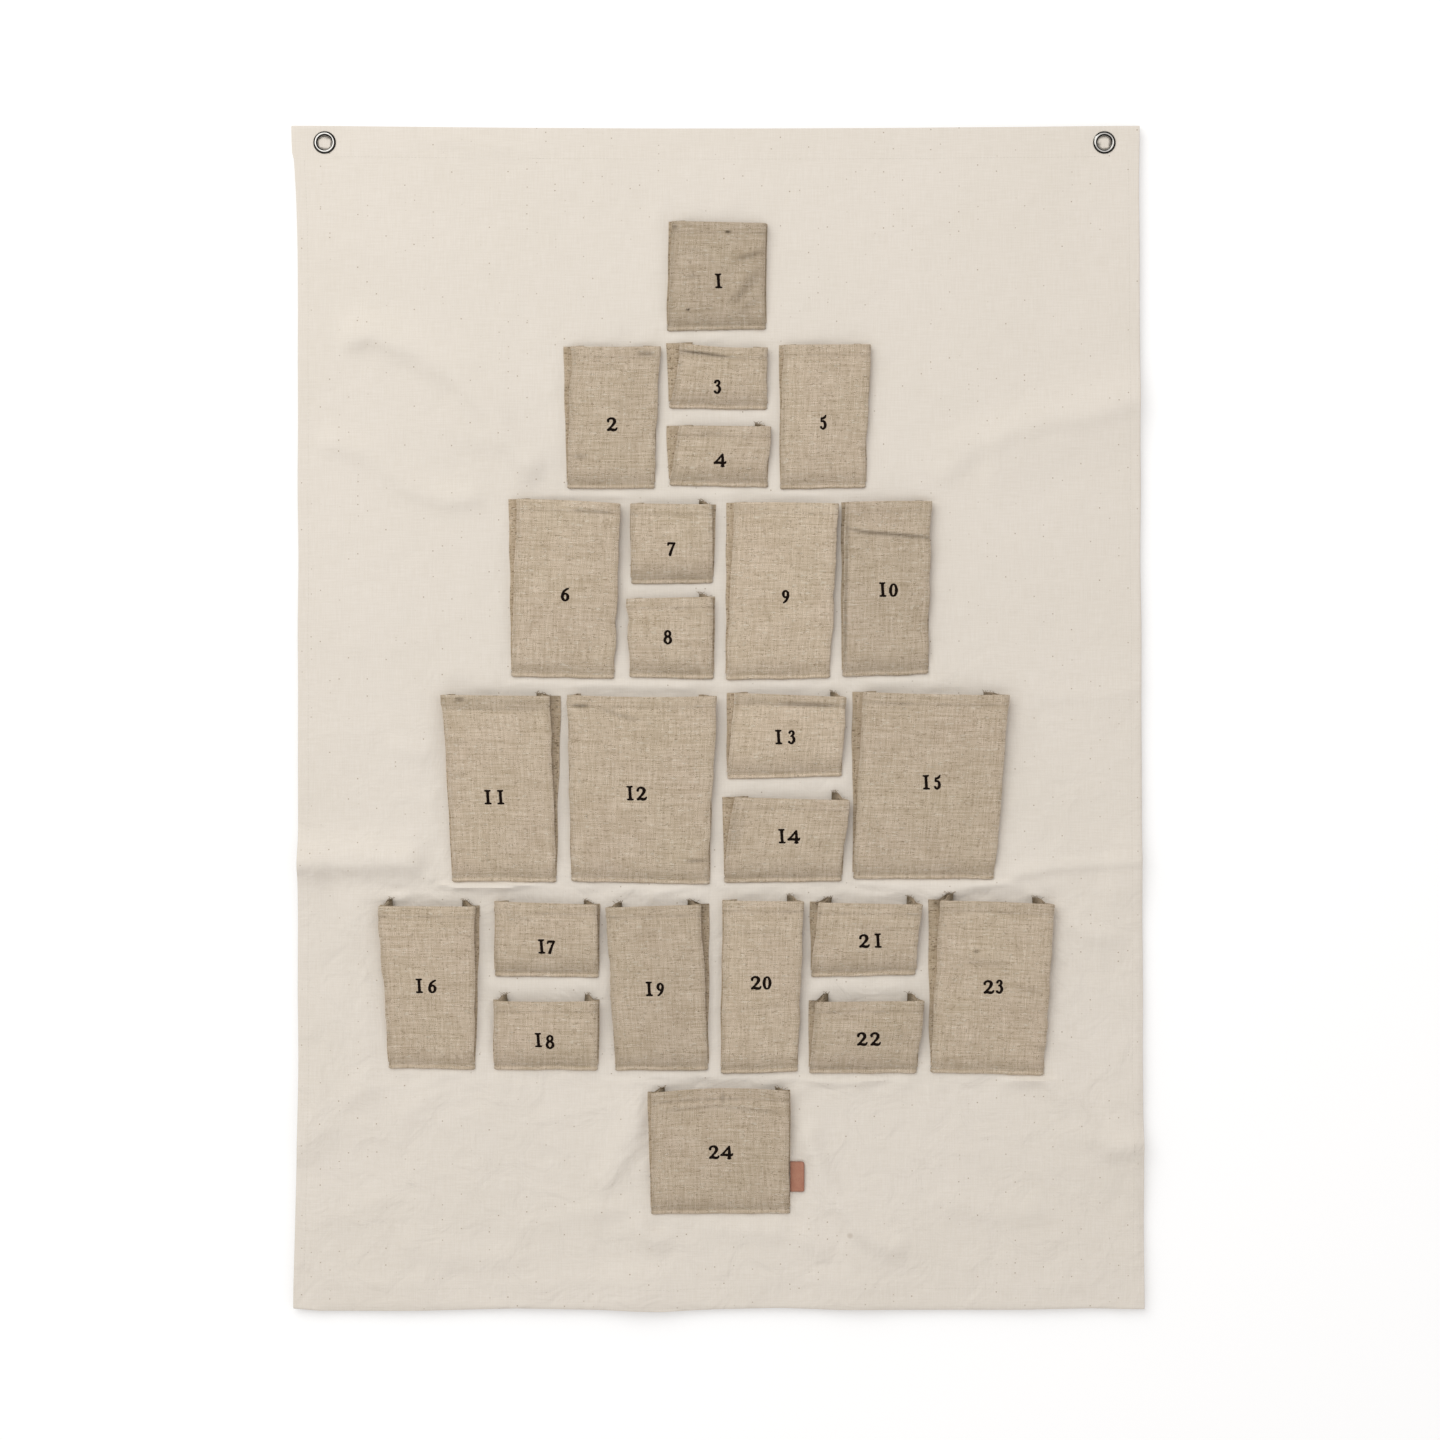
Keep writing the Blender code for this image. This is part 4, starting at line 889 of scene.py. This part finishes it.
def fold_pocket(pocket):
    """The corners of a pocket's folded sheet, row by row from the foot up, and the height of each row."""
    rim, height = len(RIM), pocket.height
    body_rows = max(8, round((height - 0.018) / ROW_STEP))
    body = np.linspace(0.0066, height - MOUTH_HEM - 0.0006, body_rows)
    heights = np.concatenate((body, height - np.array(HEM_ROWS)))
    shares = np.linspace(0, 1, max(30, round(pocket.width / COLUMN_STEP)) + 1)
    points = np.zeros((rim + len(heights), len(shares) + 2 * PLEAT_COLUMNS, 3))
    for side, places in enumerate(PLEATS):
        for place, (x, depth, rise) in zip(places, pocket.pleat_columns(side, heights)):
            z = pocket.level(float(side), heights) + pocket.ears[side] * rise * (heights / height) ** 2
            points[rim:, place] = np.stack((x, FACE_Y - depth, z), axis=1)
    across, upright = np.meshgrid(shares, heights)
    left, right = pocket.edge(0, heights) + FOLD_HALF, pocket.edge(1, heights) - FOLD_HALF
    x = left[:, None] + (right - left)[:, None] * across
    depth = pocket.front_depth(across, upright)
    points[rim:, FRONT] = np.stack((x, FACE_Y - depth, pocket.level(across, upright)), axis=2)
    foot = np.zeros(1)
    left, right = pocket.edge(0, foot)[0] + FOLD_HALF, pocket.edge(1, foot)[0] - FOLD_HALF
    inset = np.minimum(shares, 1 - shares) * pocket.width
    swell = 1 + 0.10 * ripple(shares * pocket.width, 0, 0.022, 300 + pocket.number)
    blunt, full = 0.55 + 0.45 * ease(inset / 0.0012), 1 + 0.2 * ease(1 - inset / 0.016)
    for row, (rise, depth) in enumerate(RIM):
        bulge = 0.45 + (depth - 0.45) * swell * blunt * full
        lift = 0.001 * ease(1 - inset / 0.0022) * (1 - rise / 6)
        z = pocket.level(shares, np.full(len(shares), rise / 1000)) + lift
        points[row, FRONT] = np.stack((left + (right - left) * shares, FACE_Y - bulge / 1000, z), axis=1)
        points[row, :PLEAT_COLUMNS] = points[row, PLEAT_COLUMNS]
        points[row, -PLEAT_COLUMNS:] = points[row, -PLEAT_COLUMNS - 1]
    return points, np.concatenate((np.array(RIM)[:, 0] / 1000, heights))


def lay_out_weave(sheet, points, seed):
    """Lays the sheet's weave out flat as its UV map, as the linen lay before it was folded, and returns the
    flat size."""
    across = np.linalg.norm(np.diff(points[len(RIM):], axis=1), axis=2).mean(axis=0)
    upright = np.linalg.norm(np.diff(points[:, FRONT], axis=0), axis=2).mean(axis=1)
    flat_x, flat_z = (np.concatenate(([0], np.cumsum(steps))) for steps in (across, upright))
    corner = np.zeros(len(sheet.data.loops), int)
    sheet.data.loops.foreach_get("vertex_index", corner)
    row, column = np.divmod(corner, points.shape[1])
    shift = np.random.default_rng(seed).uniform(0, 40, 2)
    weave = sheet.data.uv_layers.active
    weave.name = "weave"
    laid = np.stack((flat_x[column] + shift[0], flat_z[row] + shift[1]), axis=1)
    weave.data.foreach_set("uv", laid.reshape(-1))
    return float(flat_x[-1]), float(flat_z[-1])


def wear(pocket, heights, columns):
    """How dark each corner of a pocket's sheet is: the front's own tone and its doubled mouth, painted shade
    along its side edges, dirt and painted shade in its creases, painted shadow along its mouth's seam and
    painted shade in the groove above its foot, and painted shade in the hollows of pleats that stand above
    the mouth."""
    wear_and_shade = np.full((len(heights), columns), float(FRONT_SHADES[pocket.number]))
    shares = np.linspace(0, 1, columns - 2 * PLEAT_COLUMNS)
    # painted shade along the front's two side edges, where it turns in beside the pleats
    wear_and_shade[:, FRONT] += 1.6 * ease(1 - np.minimum(shares, 1 - shares) * pocket.width / 0.0052)
    wear_and_shade[-len(HEM_ROWS):, FRONT] += HEM_SHADES.get(pocket.number, 0.4)
    wear_and_shade[:, FRONT] += pocket.dirt(*np.meshgrid(shares, heights))
    # painted shade in the hollows of the pleats that stand above the mouth
    hollow_shade = np.array((0.2, 0.4, 0.6, 0.8, 1, 1, 1, 1, 1, 1, 0.8, 0.45, 0.15, 0.05, 0, 0, 0, 0))
    for side, places in enumerate(PLEATS):
        deep_shade = 9 * ease(pocket.ears[side] / 0.004) * ease((heights - pocket.height + 0.013) / 0.009)
        wear_and_shade[:, places] += deep_shade[:, None] * hollow_shade
    if pocket.number == 7:                       # its foot is dirtier than the others'
        wear_and_shade[:, FRONT] += 0.9 * ease((0.026 - heights) / 0.016)[:, None]
    return wear_and_shade


def cut_away(sheet, gone):
    """Deletes the marked cells of a grid."""
    bpy.ops.object.mode_set(mode="EDIT")
    bpy.ops.mesh.select_mode(type="FACE")
    bpy.ops.mesh.select_all(action="DESELECT")
    bpy.ops.object.mode_set(mode="OBJECT")
    sheet.data.polygons.foreach_set("select", gone.reshape(-1))
    bpy.ops.object.mode_set(mode="EDIT")
    bpy.ops.mesh.delete(type="FACE")
    bpy.ops.object.mode_set(mode="OBJECT")


def make_pocket(pocket):
    """The folded sheet of one pocket, and its flat size."""
    points, heights = fold_pocket(pocket)
    sheet = add_woven_sheet(f"linen_pocket_{pocket.number:02d}", points)
    flat = lay_out_weave(sheet, points, pocket.number)
    layers = np.full(points.shape[:2], 0.5)      # of two, where the mouth's hem is doubled
    layers[-7:] = 1.0
    layers[-8] = 0.6
    layers[-2], layers[-1] = 0.75, 0.3
    layers[-7:, :PLEAT_COLUMNS - 3] = layers[-7:, 3 - PLEAT_COLUMNS:] = 0.5
    group = sheet.vertex_groups.new(name="layers")
    for level in np.unique(layers):
        group.add(np.flatnonzero(layers.reshape(-1) == level).tolist(), float(level), "REPLACE")
    wear_and_shade = wear(pocket, heights, points.shape[1])
    sheet.data.attributes.new("wear_and_shade", "FLOAT", "POINT").data.foreach_set("value", wear_and_shade.reshape(-1))
    for material in (linen, pleat_linen_painted_shade):
        sheet.data.materials.append(material)
    pleated = np.zeros((points.shape[0] - 1, points.shape[1] - 1), int)
    pleated[:, :PLEAT_COLUMNS - 2] = pleated[:, 2 - PLEAT_COLUMNS:] = 1
    sheet.data.polygons.foreach_set("material_index", pleated.reshape(-1))
    gone = np.zeros(pleated.shape, bool)
    gone[:len(RIM), :PLEAT_COLUMNS] = gone[:len(RIM), -PLEAT_COLUMNS:] = True
    cut_away(sheet, gone)
    thicken(sheet, 2 * LINEN, group="layers", thinnest=0.0)
    smooth(sheet, 60)
    return sheet, flat


def sew_pocket(pocket):
    """The seam of the mouth's hem and the one that holds the rolled foot down."""
    shares = np.linspace(0.015, 0.985, 120)
    seams = []
    for height in (pocket.height - MOUTH_HEM + HEM_SEAM_INSET, RIM_SEAM_HEIGHT):
        x, z = pocket.place(shares, np.full(len(shares), height))
        seams.append(pocket.on_front(x, z, -SUNK))
    return sew(f"pocket_{pocket.number:02d}_stitches", seams, linen_thread, length=0.0024, gap=0.0008,
               thickness=0.0004)


def ravel_ends(pocket):
    """The short yarn ends that have worked loose where a pleat's raw top edge stands up."""
    draw = np.random.default_rng(700 + pocket.number)
    top = np.array([pocket.height])
    along = np.linspace(0, 1, 9)
    yarns = []
    for side in (0, 1):
        if pocket.ears[side] < 0.0025:
            continue
        for x, depth, rise in pocket.pleat_columns(side, top)[2:13]:
            level = pocket.level(float(side), top)[0] + pocket.ears[side] * rise
            root = (x[0], FACE_Y - depth[0], level - 0.0008)
            reach, turn, lean = draw.uniform(0.0022, 0.0048), draw.uniform(-1, 1), draw.uniform(-0.5, 0.1)
            curve = np.stack((turn * along ** 1.6, lean * along, along * (1.1 - 0.4 * along)), axis=1)
            yarns.append(root + reach * curve)
    if not yarns:
        return []
    return [sew(f"pocket_{pocket.number:02d}_ravelled_ends", yarns, ravelled_yarn, length=0.0012, gap=-0.0003,
                thickness=0.00042)]


linen = make_linen("natural_linen", "#FFFFFF", 0.4)
# The pleats' copy is a shade darker, painted shade for their place in the pleat's hollow
pleat_linen_painted_shade = make_linen("natural_linen_pleats_painted_shade", "#F3F0EA", 0.7)
linen_thread = make_thread("linen_sewing_thread", "#C2B29C")
ravelled_yarn = make_thread("ravelled_linen_yarn", "#9A8468")

# The stamped numbers: dark brown textile ink, stamped by hand on each front with old-style figures of about
# 14 mm, so the strokes swell and thin and their edges follow the weave. Each is made with its pocket.

# Each stroke in mm from the figure's middle and its foot, as points of x, y and width
FIGURES = {
    "0": (((3.0, 6.5, 2.6), (2.0, 11.0, 1.9), (0, 12.5, 1.3), (-2.1, 10.8, 2.0), (-3.0, 6.5, 2.6),
           (-2.2, 2.1, 2.1), (-0.2, 0.7, 1.3), (1.9, 2.1, 1.9), (3.0, 6.5, 2.6)),),
    "1": (((0.2, 1.2, 2.6), (-0.2, 6.8, 2.4), (-0.5, 12.9, 2.6)),
          ((-3.1, 13.6, 1.2), (-0.5, 13.4, 1.6), (1.8, 13.7, 1.2)),
          ((-2.6, 0.7, 1.2), (0.1, 0.8, 1.6), (2.8, 0.7, 1.3))),
    "2": (((-3.9, 9.8, 2.2), (-3.7, 11.1, 2.0), (-1.5, 12.6, 1.6), (1.5, 12.0, 2.3), (2.7, 9.5, 2.8),
           (1.3, 6.5, 2.2), (-1.5, 3.4, 1.6), (-3.7, 1.2, 1.6)),
          ((-3.9, 1.0, 1.9), (-1.5, 1.5, 2.2), (1.7, 0.9, 2.4), (3.9, 1.4, 1.8), (4.9, 2.9, 1.1))),
    "3": (((-2.1, 11.5, 2.0), (-1.0, 13.0, 1.5), (0.9, 13.0, 1.6), (2.0, 11.1, 2.2), (1.1, 9.1, 1.7),
           (-0.5, 8.0, 1.2)),
          ((-0.5, 8.0, 1.2), (1.3, 7.6, 1.7), (2.5, 4.7, 2.5), (1.3, 1.6, 2.0), (-0.6, 0.8, 1.4),
           (-2.4, 2.2, 2.1))),
    "4": (((2.5, 12.5, 1.3), (0, 9.4, 1.6), (-3.0, 6.0, 1.5), (-5.6, 3.7, 1.5)),
          ((-5.6, 3.7, 1.6), (-1.4, 4.0, 2.1), (3.4, 3.6, 2.3), (5.2, 4.0, 1.8), (5.9, 5.0, 1.0)),
          ((2.7, 12.3, 1.3), (2.7, 8.1, 2.3), (2.7, 3.6, 2.6), (2.7, 0.7, 2.5)),
          ((1.2, 0.5, 1.1), (4.1, 0.5, 1.1))),
    "5": (((-1.6, 11.0, 1.5), (-0.1, 11.2, 1.9), (1.5, 12.2, 1.9), (2.5, 14.1, 1.0)),
          ((-1.6, 11.3, 1.5), (-1.9, 8.4, 1.3)),
          ((-1.9, 8.1, 1.3), (0.4, 8.2, 1.7), (1.9, 6.0, 2.3), (1.9, 3.0, 2.5), (0.4, 0.8, 1.8),
           (-1.0, 0.8, 1.4), (-2.2, 2.3, 1.9))),
    "6": (((3.2, 12.6, 1.1), (1.0, 11.7, 1.7), (-1.6, 9.1, 2.1), (-2.8, 4.8, 2.6), (-1.9, 1.7, 2.1),
           (0.2, 0.6, 1.4), (2.2, 1.9, 2.1), (2.8, 4.5, 2.5), (1.6, 7.0, 1.8), (-0.3, 7.3, 1.3),
           (-2.2, 6.1, 1.3)),),
    "7": (((-3.3, 10.5, 1.2), (-2.7, 12.0, 1.9), (0, 12.1, 1.9), (3.1, 12.1, 1.8)),
          ((3.0, 11.8, 1.6), (1.2, 7.9, 1.8), (-0.3, 3.9, 2.2), (-1.3, 0.7, 2.5))),
    "8": (((0, 7.9, 1.6), (-2.2, 9.3, 2.0), (-2.2, 11.9, 2.0), (0, 13.6, 1.3), (2.1, 11.9, 2.0),
           (2.1, 9.4, 2.0), (0, 7.9, 1.6)),
          ((0, 7.8, 1.6), (-2.6, 5.9, 2.2), (-2.7, 2.8, 2.3), (0, 0.7, 1.3), (2.7, 2.8, 2.4),
           (2.6, 5.9, 2.2), (0, 7.8, 1.6))),
    "9": (((2.3, 10.4, 1.9), (0.5, 12.4, 1.4), (-1.6, 11.6, 2.0), (-2.4, 9.0, 2.4), (-1.4, 6.5, 1.8),
           (0.3, 6.0, 1.3), (2.2, 7.5, 1.4)),
          ((2.3, 10.5, 2.0), (2.3, 7.1, 2.4), (1.0, 3.5, 2.1), (-0.7, 1.4, 1.6), (-2.1, 0.5, 1.1))),
}
# The gap between the two figures of a number, in mm
FIGURE_GAPS = {10: 3, 11: 5.7, 12: 3, 13: 6, 14: 2, 15: 4.5, 16: 5.5, 17: 2, 18: 4, 19: 4, 20: 1.5, 21: 5,
               22: 3, 23: 2, 24: 1}
CELL = 0.42              # of the ink's grid, in mm
SPREAD = 0.28            # how far the ink runs past a drawn stroke, in mm
INK_FILM = 0.00012       # its thickness


def stroke_points(stroke):
    """Points along a smooth curve through a stroke's own, with their widths."""
    knots = np.array(stroke)
    ends = np.concatenate((2 * knots[:1] - knots[1:2], knots, 2 * knots[-1:] - knots[-2:-1]))
    if len(knots) > 3 and np.allclose(knots[0], knots[-1]):
        ends[0], ends[-1] = knots[-2], knots[1]
    share = np.linspace(0, 1, 14)[:, None]
    runs = []
    for before, start, end, after in zip(ends, ends[1:], ends[2:], ends[3:]):
        runs.append(0.5 * (2 * start + (end - before) * share + (2 * before - 5 * start + 4 * end - after)
                           * share ** 2 + (3 * start - before - 3 * end + after) * share ** 3))
    return np.concatenate(runs)


def trim_to_outline(x, z, away, field, cell):
    """Marks a grid's cells outside an outline, and draws the corners at its edge onto the outline. away gives
    the distance from it, below 0 inside, and field the same at the corners with any raggedness."""
    gone = (field[:-1, :-1] + field[1:, :-1] + field[:-1, 1:] + field[1:, 1:]) > 0
    around = np.pad(gone, 1, constant_values=True)
    on_edge = around[:-1, :-1] | around[1:, :-1] | around[:-1, 1:] | around[1:, 1:]
    step = cell / 8
    slope_x = (away(x + step, z) - away(x - step, z)) / (2 * step)
    slope_z = (away(x, z + step) - away(x, z - step)) / (2 * step)
    pull = np.where(on_edge, np.clip(field, -0.6 * cell, 0.6 * cell), 0)
    return gone, x - pull * slope_x, z - pull * slope_z


def stamp_number(pocket):
    """The ink of one number, a thin film on the front's own surface."""
    digits = str(pocket.number)
    blots, place = [], 0.0
    for position, digit in enumerate(digits):
        blot = np.concatenate([stroke_points(stroke) for stroke in FIGURES[digit]])
        low, high = (blot[:, 0] - blot[:, 2] / 2).min(), (blot[:, 0] + blot[:, 2] / 2).max()
        lower = 2.0 if (pocket.number, position) == (18, 1) else 0.0    # that 8 was stamped low
        blots.append(blot + (place - low, -lower, 0))
        place += high - low + FIGURE_GAPS.get(pocket.number, 0)
    blots = np.concatenate(blots)
    low = (blots[:, :2] - blots[:, 2:] / 2).min(axis=0) - 1
    high = (blots[:, :2] + blots[:, 2:] / 2).max(axis=0) + 1
    x, z = np.meshgrid(np.arange(low[0], high[0], CELL), np.arange(low[1], high[1], CELL))
    edge_noise = 0.13 * ripple(x, z, 2.6, 400 + pocket.number, 11)

    def away(x, z):
        from_blots = np.hypot(x[..., None] - blots[:, 0], z[..., None] - blots[:, 1]) - blots[:, 2] / 2
        return from_blots.min(axis=-1) - SPREAD

    field = away(x, z) + edge_noise
    gone, x, z = trim_to_outline(x, z, away, field, CELL)
    centre = (low + high) / 2
    world_x = pocket.middle[0] + (x - centre[0]) / 1000
    world_z = pocket.middle[1] + (z - centre[1]) / 1000
    inked = pocket.on_front(world_x, world_z, INK_FILM / 2)
    film = add_woven_sheet(f"stamped_number_{pocket.number:02d}", inked)
    cut_away(film, gone)
    thicken(film, INK_FILM)
    smooth(film, 30)
    film.data.materials.append(ink)
    return film


def make_ink():
    """Water-based textile ink soaked into linen: matt dark brown, thinner where the weave stands proud."""
    material, tree, shader = new_material("brown_stamping_ink")
    place = add(tree, "TexCoord").outputs["Object"]
    thin = add(tree, "TexNoise", {"Vector": place, "Scale": 900.0, "Detail": 2.0})
    thin = add(tree, "MapRange", {"Value": thin, "From Min": 0.5, "From Max": 0.85})
    tone = add(tree, "MixRGB", {"Fac": thin, 1: "#150D08", 2: "#291C13"})
    bump = add(tree, "Bump", {"Height": thin, "Strength": 0.3, "Distance": 0.0002})
    wire(shader, {"Base Color": tone, "Normal": bump, "Roughness": 0.85, "Specular IOR Level": 0.08})
    return material


ink = make_ink()
for number in POCKETS:
    pocket = Pocket(number)
    sheet, flat = make_pocket(pocket)
    stitches = sew_pocket(pocket)
    stamp = stamp_number(pocket)
    small_pieces = [stitches, stamp, *ravel_ends(pocket)]
    for piece in (sheet, *small_pieces):
        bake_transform(piece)
    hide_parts(f"pocket_{number:02d}_front", f"pocket_{number:02d}_gusset")

# The leather tag: undyed vegetable-tanned leather, die cut, its grain side bare. It is sewn in beside the
# last pocket with its two free corners rounded.

TAG_LEFT, TAG_MIDDLE_Z = 0.0768, -1.0487
TAG_WIDTH, TAG_LENGTH, TAG_THICKNESS = 0.0143, 0.0308, 0.0014


def make_leather():
    """Vegetable-tanned calf: pinkish tan, a fine pebbled grain of 0.5 mm drawn at 0.9 mm, with scuffed and
    darker edges, and painted shadow of the pocket along its left edge."""
    material, tree, shader = new_material("tan_vegetable_leather")
    place = add(tree, "TexCoord").outputs["Object"]
    cloud = add(tree, "TexNoise", {"Vector": place, "Scale": 160.0, "Detail": 4.0})
    tone = add(tree, "MixRGB", {"Fac": cloud, 1: "#A66B54", 2: "#BE8A71"})
    pores = add(tree, "TexVoronoi", {"Vector": place, "Scale": 1100.0})
    pore = add(tree, "MapRange", {"Value": pores, "From Min": 0.0, "From Max": 0.45})
    grain = add(tree, "MixRGB", {"Fac": pore, 1: "#D9C8C0", 2: "#FFFFFF"})
    mixed = add(tree, "MixRGB", {"Fac": 1.0, 1: tone, 2: grain}, blend_type="MULTIPLY")
    rubbed_and_shaded = add(tree, "Attribute", attribute_name="rubbed_and_shaded").outputs["Fac"]
    edged = add(tree, "MixRGB", {"Fac": rubbed_and_shaded, 1: mixed, 2: "#7E5241"})
    bump = add(tree, "Bump", {"Height": pore, "Strength": 0.35, "Distance": 0.0003})
    wire(shader, {"Base Color": edged, "Normal": bump, "Roughness": 0.6})
    return material


def make_tag():
    """A strip with two rounded corners: a grid cut back to the strip's outline, then given its thickness."""
    cell = 0.0005
    x, z = np.meshgrid(np.arange(0, TAG_WIDTH + 2 * cell, cell),
                       np.arange(-0.5, TAG_LENGTH / cell + 1.5) * cell - TAG_LENGTH / 2)

    def away(x, z):
        radius = np.where(z > 0, 0.0030, 0.0018)
        inner_x, inner_z = x - (TAG_WIDTH - radius), np.abs(z) - (TAG_LENGTH / 2 - radius)
        outside = np.hypot(np.maximum(inner_x, 0), np.maximum(inner_z, 0))
        return outside + np.minimum(np.maximum(inner_x, inner_z), 0) - radius

    gone, x, z = trim_to_outline(x, z, away, away(x, z), cell)
    bend = 0.0011 + 0.0007 * (x / TAG_WIDTH) ** 2 + 0.0003 * np.sin(z / TAG_LENGTH * 5 + 1) * x / TAG_WIDTH
    points = np.stack((TAG_LEFT + x, FACE_Y - bend, TAG_MIDDLE_Z + z), axis=2)
    tag = add_woven_sheet("bare_leather_tag", points)
    # rubbed darker edges all round, and painted shadow of the pocket beside it along the left edge
    rubbed_and_shaded = 0.6 * ease(1 + away(x, z) / 0.0016) + 0.35 * ease(1 - x / 0.002)
    tag.data.attributes.new("rubbed_and_shaded", "FLOAT", "POINT").data.foreach_set("value", rubbed_and_shaded.reshape(-1))
    cut_away(tag, gone)
    thicken(tag, TAG_THICKNESS)
    edge = tag.modifiers.new("pressed_edge", "BEVEL")
    edge.width, edge.segments, edge.limit_method, edge.angle_limit = 0.0003, 2, "ANGLE", radians(50)
    apply_modifiers(tag)
    smooth(tag, 60)
    tag.data.materials.append(leather)
    return tag


leather = make_leather()
tag = make_tag()
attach(tag, "tag")
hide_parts("leather_tag")

# The studio: a white wall just behind the cloth, a pale floor below it, a large soft lamp from the upper left
# in front, a weaker one for the back, and a sky that is brighter in front than behind. Polished metal mirrors
# it bright in front and dark at the sides.


def stage_white(name, glow, mirrored):
    """Matt white paint that the camera sees as pure white where nothing shades it, and that is seen from its
    front only, and in reflections only where it's mirrored."""
    material, tree = new_material(name)[:2]
    tree.nodes.clear()
    rays = add(tree, "LightPath").outputs
    seen = add(tree, "Math", {0: rays["Is Glossy Ray"], 1: mirrored}, operation="MULTIPLY")
    seen = add(tree, "Math", {0: rays["Is Camera Ray"], 1: seen}, operation="ADD")
    seen = add(tree, "Math", {0: seen, 1: rays["Is Transmission Ray"]}, operation="ADD")
    back = add(tree, "NewGeometry").outputs["Backfacing"]
    front = add(tree, "Math", {0: 1.0, 1: back}, operation="SUBTRACT")
    seen = add(tree, "Math", {0: seen, 1: front}, operation="MULTIPLY", use_clamp=True)
    paint = add(tree, "BsdfDiffuse", {"Color": (0.95, 0.95, 0.95, 1)})
    light = add(tree, "Emission", {"Color": (1, 1, 1, 1), "Strength": glow})
    both = add(tree, "AddShader", {0: paint, 1: light})
    clear = add(tree, "BsdfTransparent")
    mix = add(tree, "MixShader", {0: seen, 1: clear, 2: both})
    add(tree, "OutputMaterial", {"Surface": mix})
    return material


def add_stage(name, location, rotation, size, material):
    bpy.ops.object.select_all(action="DESELECT")
    bpy.ops.mesh.primitive_plane_add(size=size, location=location, rotation=rotation)
    plane = bpy.context.object
    plane.name = name
    plane.data.materials.append(material)
    return plane


def add_lamp(name, location, aim, size, power):
    bpy.ops.object.light_add(type="AREA", location=location)
    lamp = bpy.context.object
    lamp.name, lamp.data.size, lamp.data.energy = name, size, power
    lamp.data.color = (0.985, 1.0, 0.985)
    lamp.rotation_euler = (aim - lamp.location).to_track_quat("-Z", "Y").to_euler()
    return lamp


EYE = (0.0056, -3.452, -0.5858)                  # where the camera stands
WALL_Y, FLOOR_Z = 0.0055, -1.9

centre = (cad_box[0] + cad_box[1]) / 2
white_wall, white_floor = stage_white("white_wall", 0.17, 1.0), stage_white("white_floor", 0.22, 0.0)
wall = add_stage("studio_wall", (EYE[0], WALL_Y, -0.62), (pi / 2, 0, 0), 3.4, white_wall)
floor = add_stage("studio_floor", (EYE[0], -1.5, FLOOR_Z), (0, 0, 0), 9.0, white_floor)
add_lamp("key_lamp", (-1.62, -2.8, 1.5), centre, 3.5, 66.5)
add_lamp("back_lamp", (1.9, 3.6, 0.9), centre, 2.0, 24)

world = bpy.data.worlds.new("even_sky")
bpy.context.scene.world = world
world.use_nodes = True
sky = world.node_tree
sky.nodes.clear()
rays = add(sky, "LightPath").outputs
seen = add(sky, "Math", {0: rays["Is Camera Ray"], 1: rays["Is Transmission Ray"]}, operation="ADD")
facing = add(sky, "TexCoord").outputs["Generated"]
facing = add(sky, "SeparateXYZ", {0: facing}).outputs[1]
diffuse = add(sky, "MapRange", {"Value": facing, "From Min": -0.1, "From Max": 0.5, "To Min": 0.69,
                                "To Max": 0.42})
strength = add(sky, "MixRGB", {"Fac": seen, 1: diffuse, 2: (1, 1, 1, 1)})
mirrored = add(sky, "MapRange", {"Value": facing, "From Min": -0.93, "From Max": -0.66,
                                 "To Min": 1.25, "To Max": 0.015})
strength = add(sky, "MixRGB", {"Fac": rays["Is Glossy Ray"], 1: strength, 2: mirrored})
tint = add(sky, "MixRGB", {"Fac": seen, 1: (1.0, 0.982, 0.978, 1), 2: (1, 1, 1, 1)})
background = add(sky, "Background", {"Color": tint, "Strength": strength})
add(sky, "OutputWorld", {"Surface": background})

bpy.ops.object.camera_add(location=EYE, rotation=(pi / 2, 0, 0))
camera = bpy.context.object
camera.data.lens, camera.data.sensor_width = 85, 36
bpy.context.scene.camera = camera
bpy.context.scene.view_settings.view_transform = "Standard"
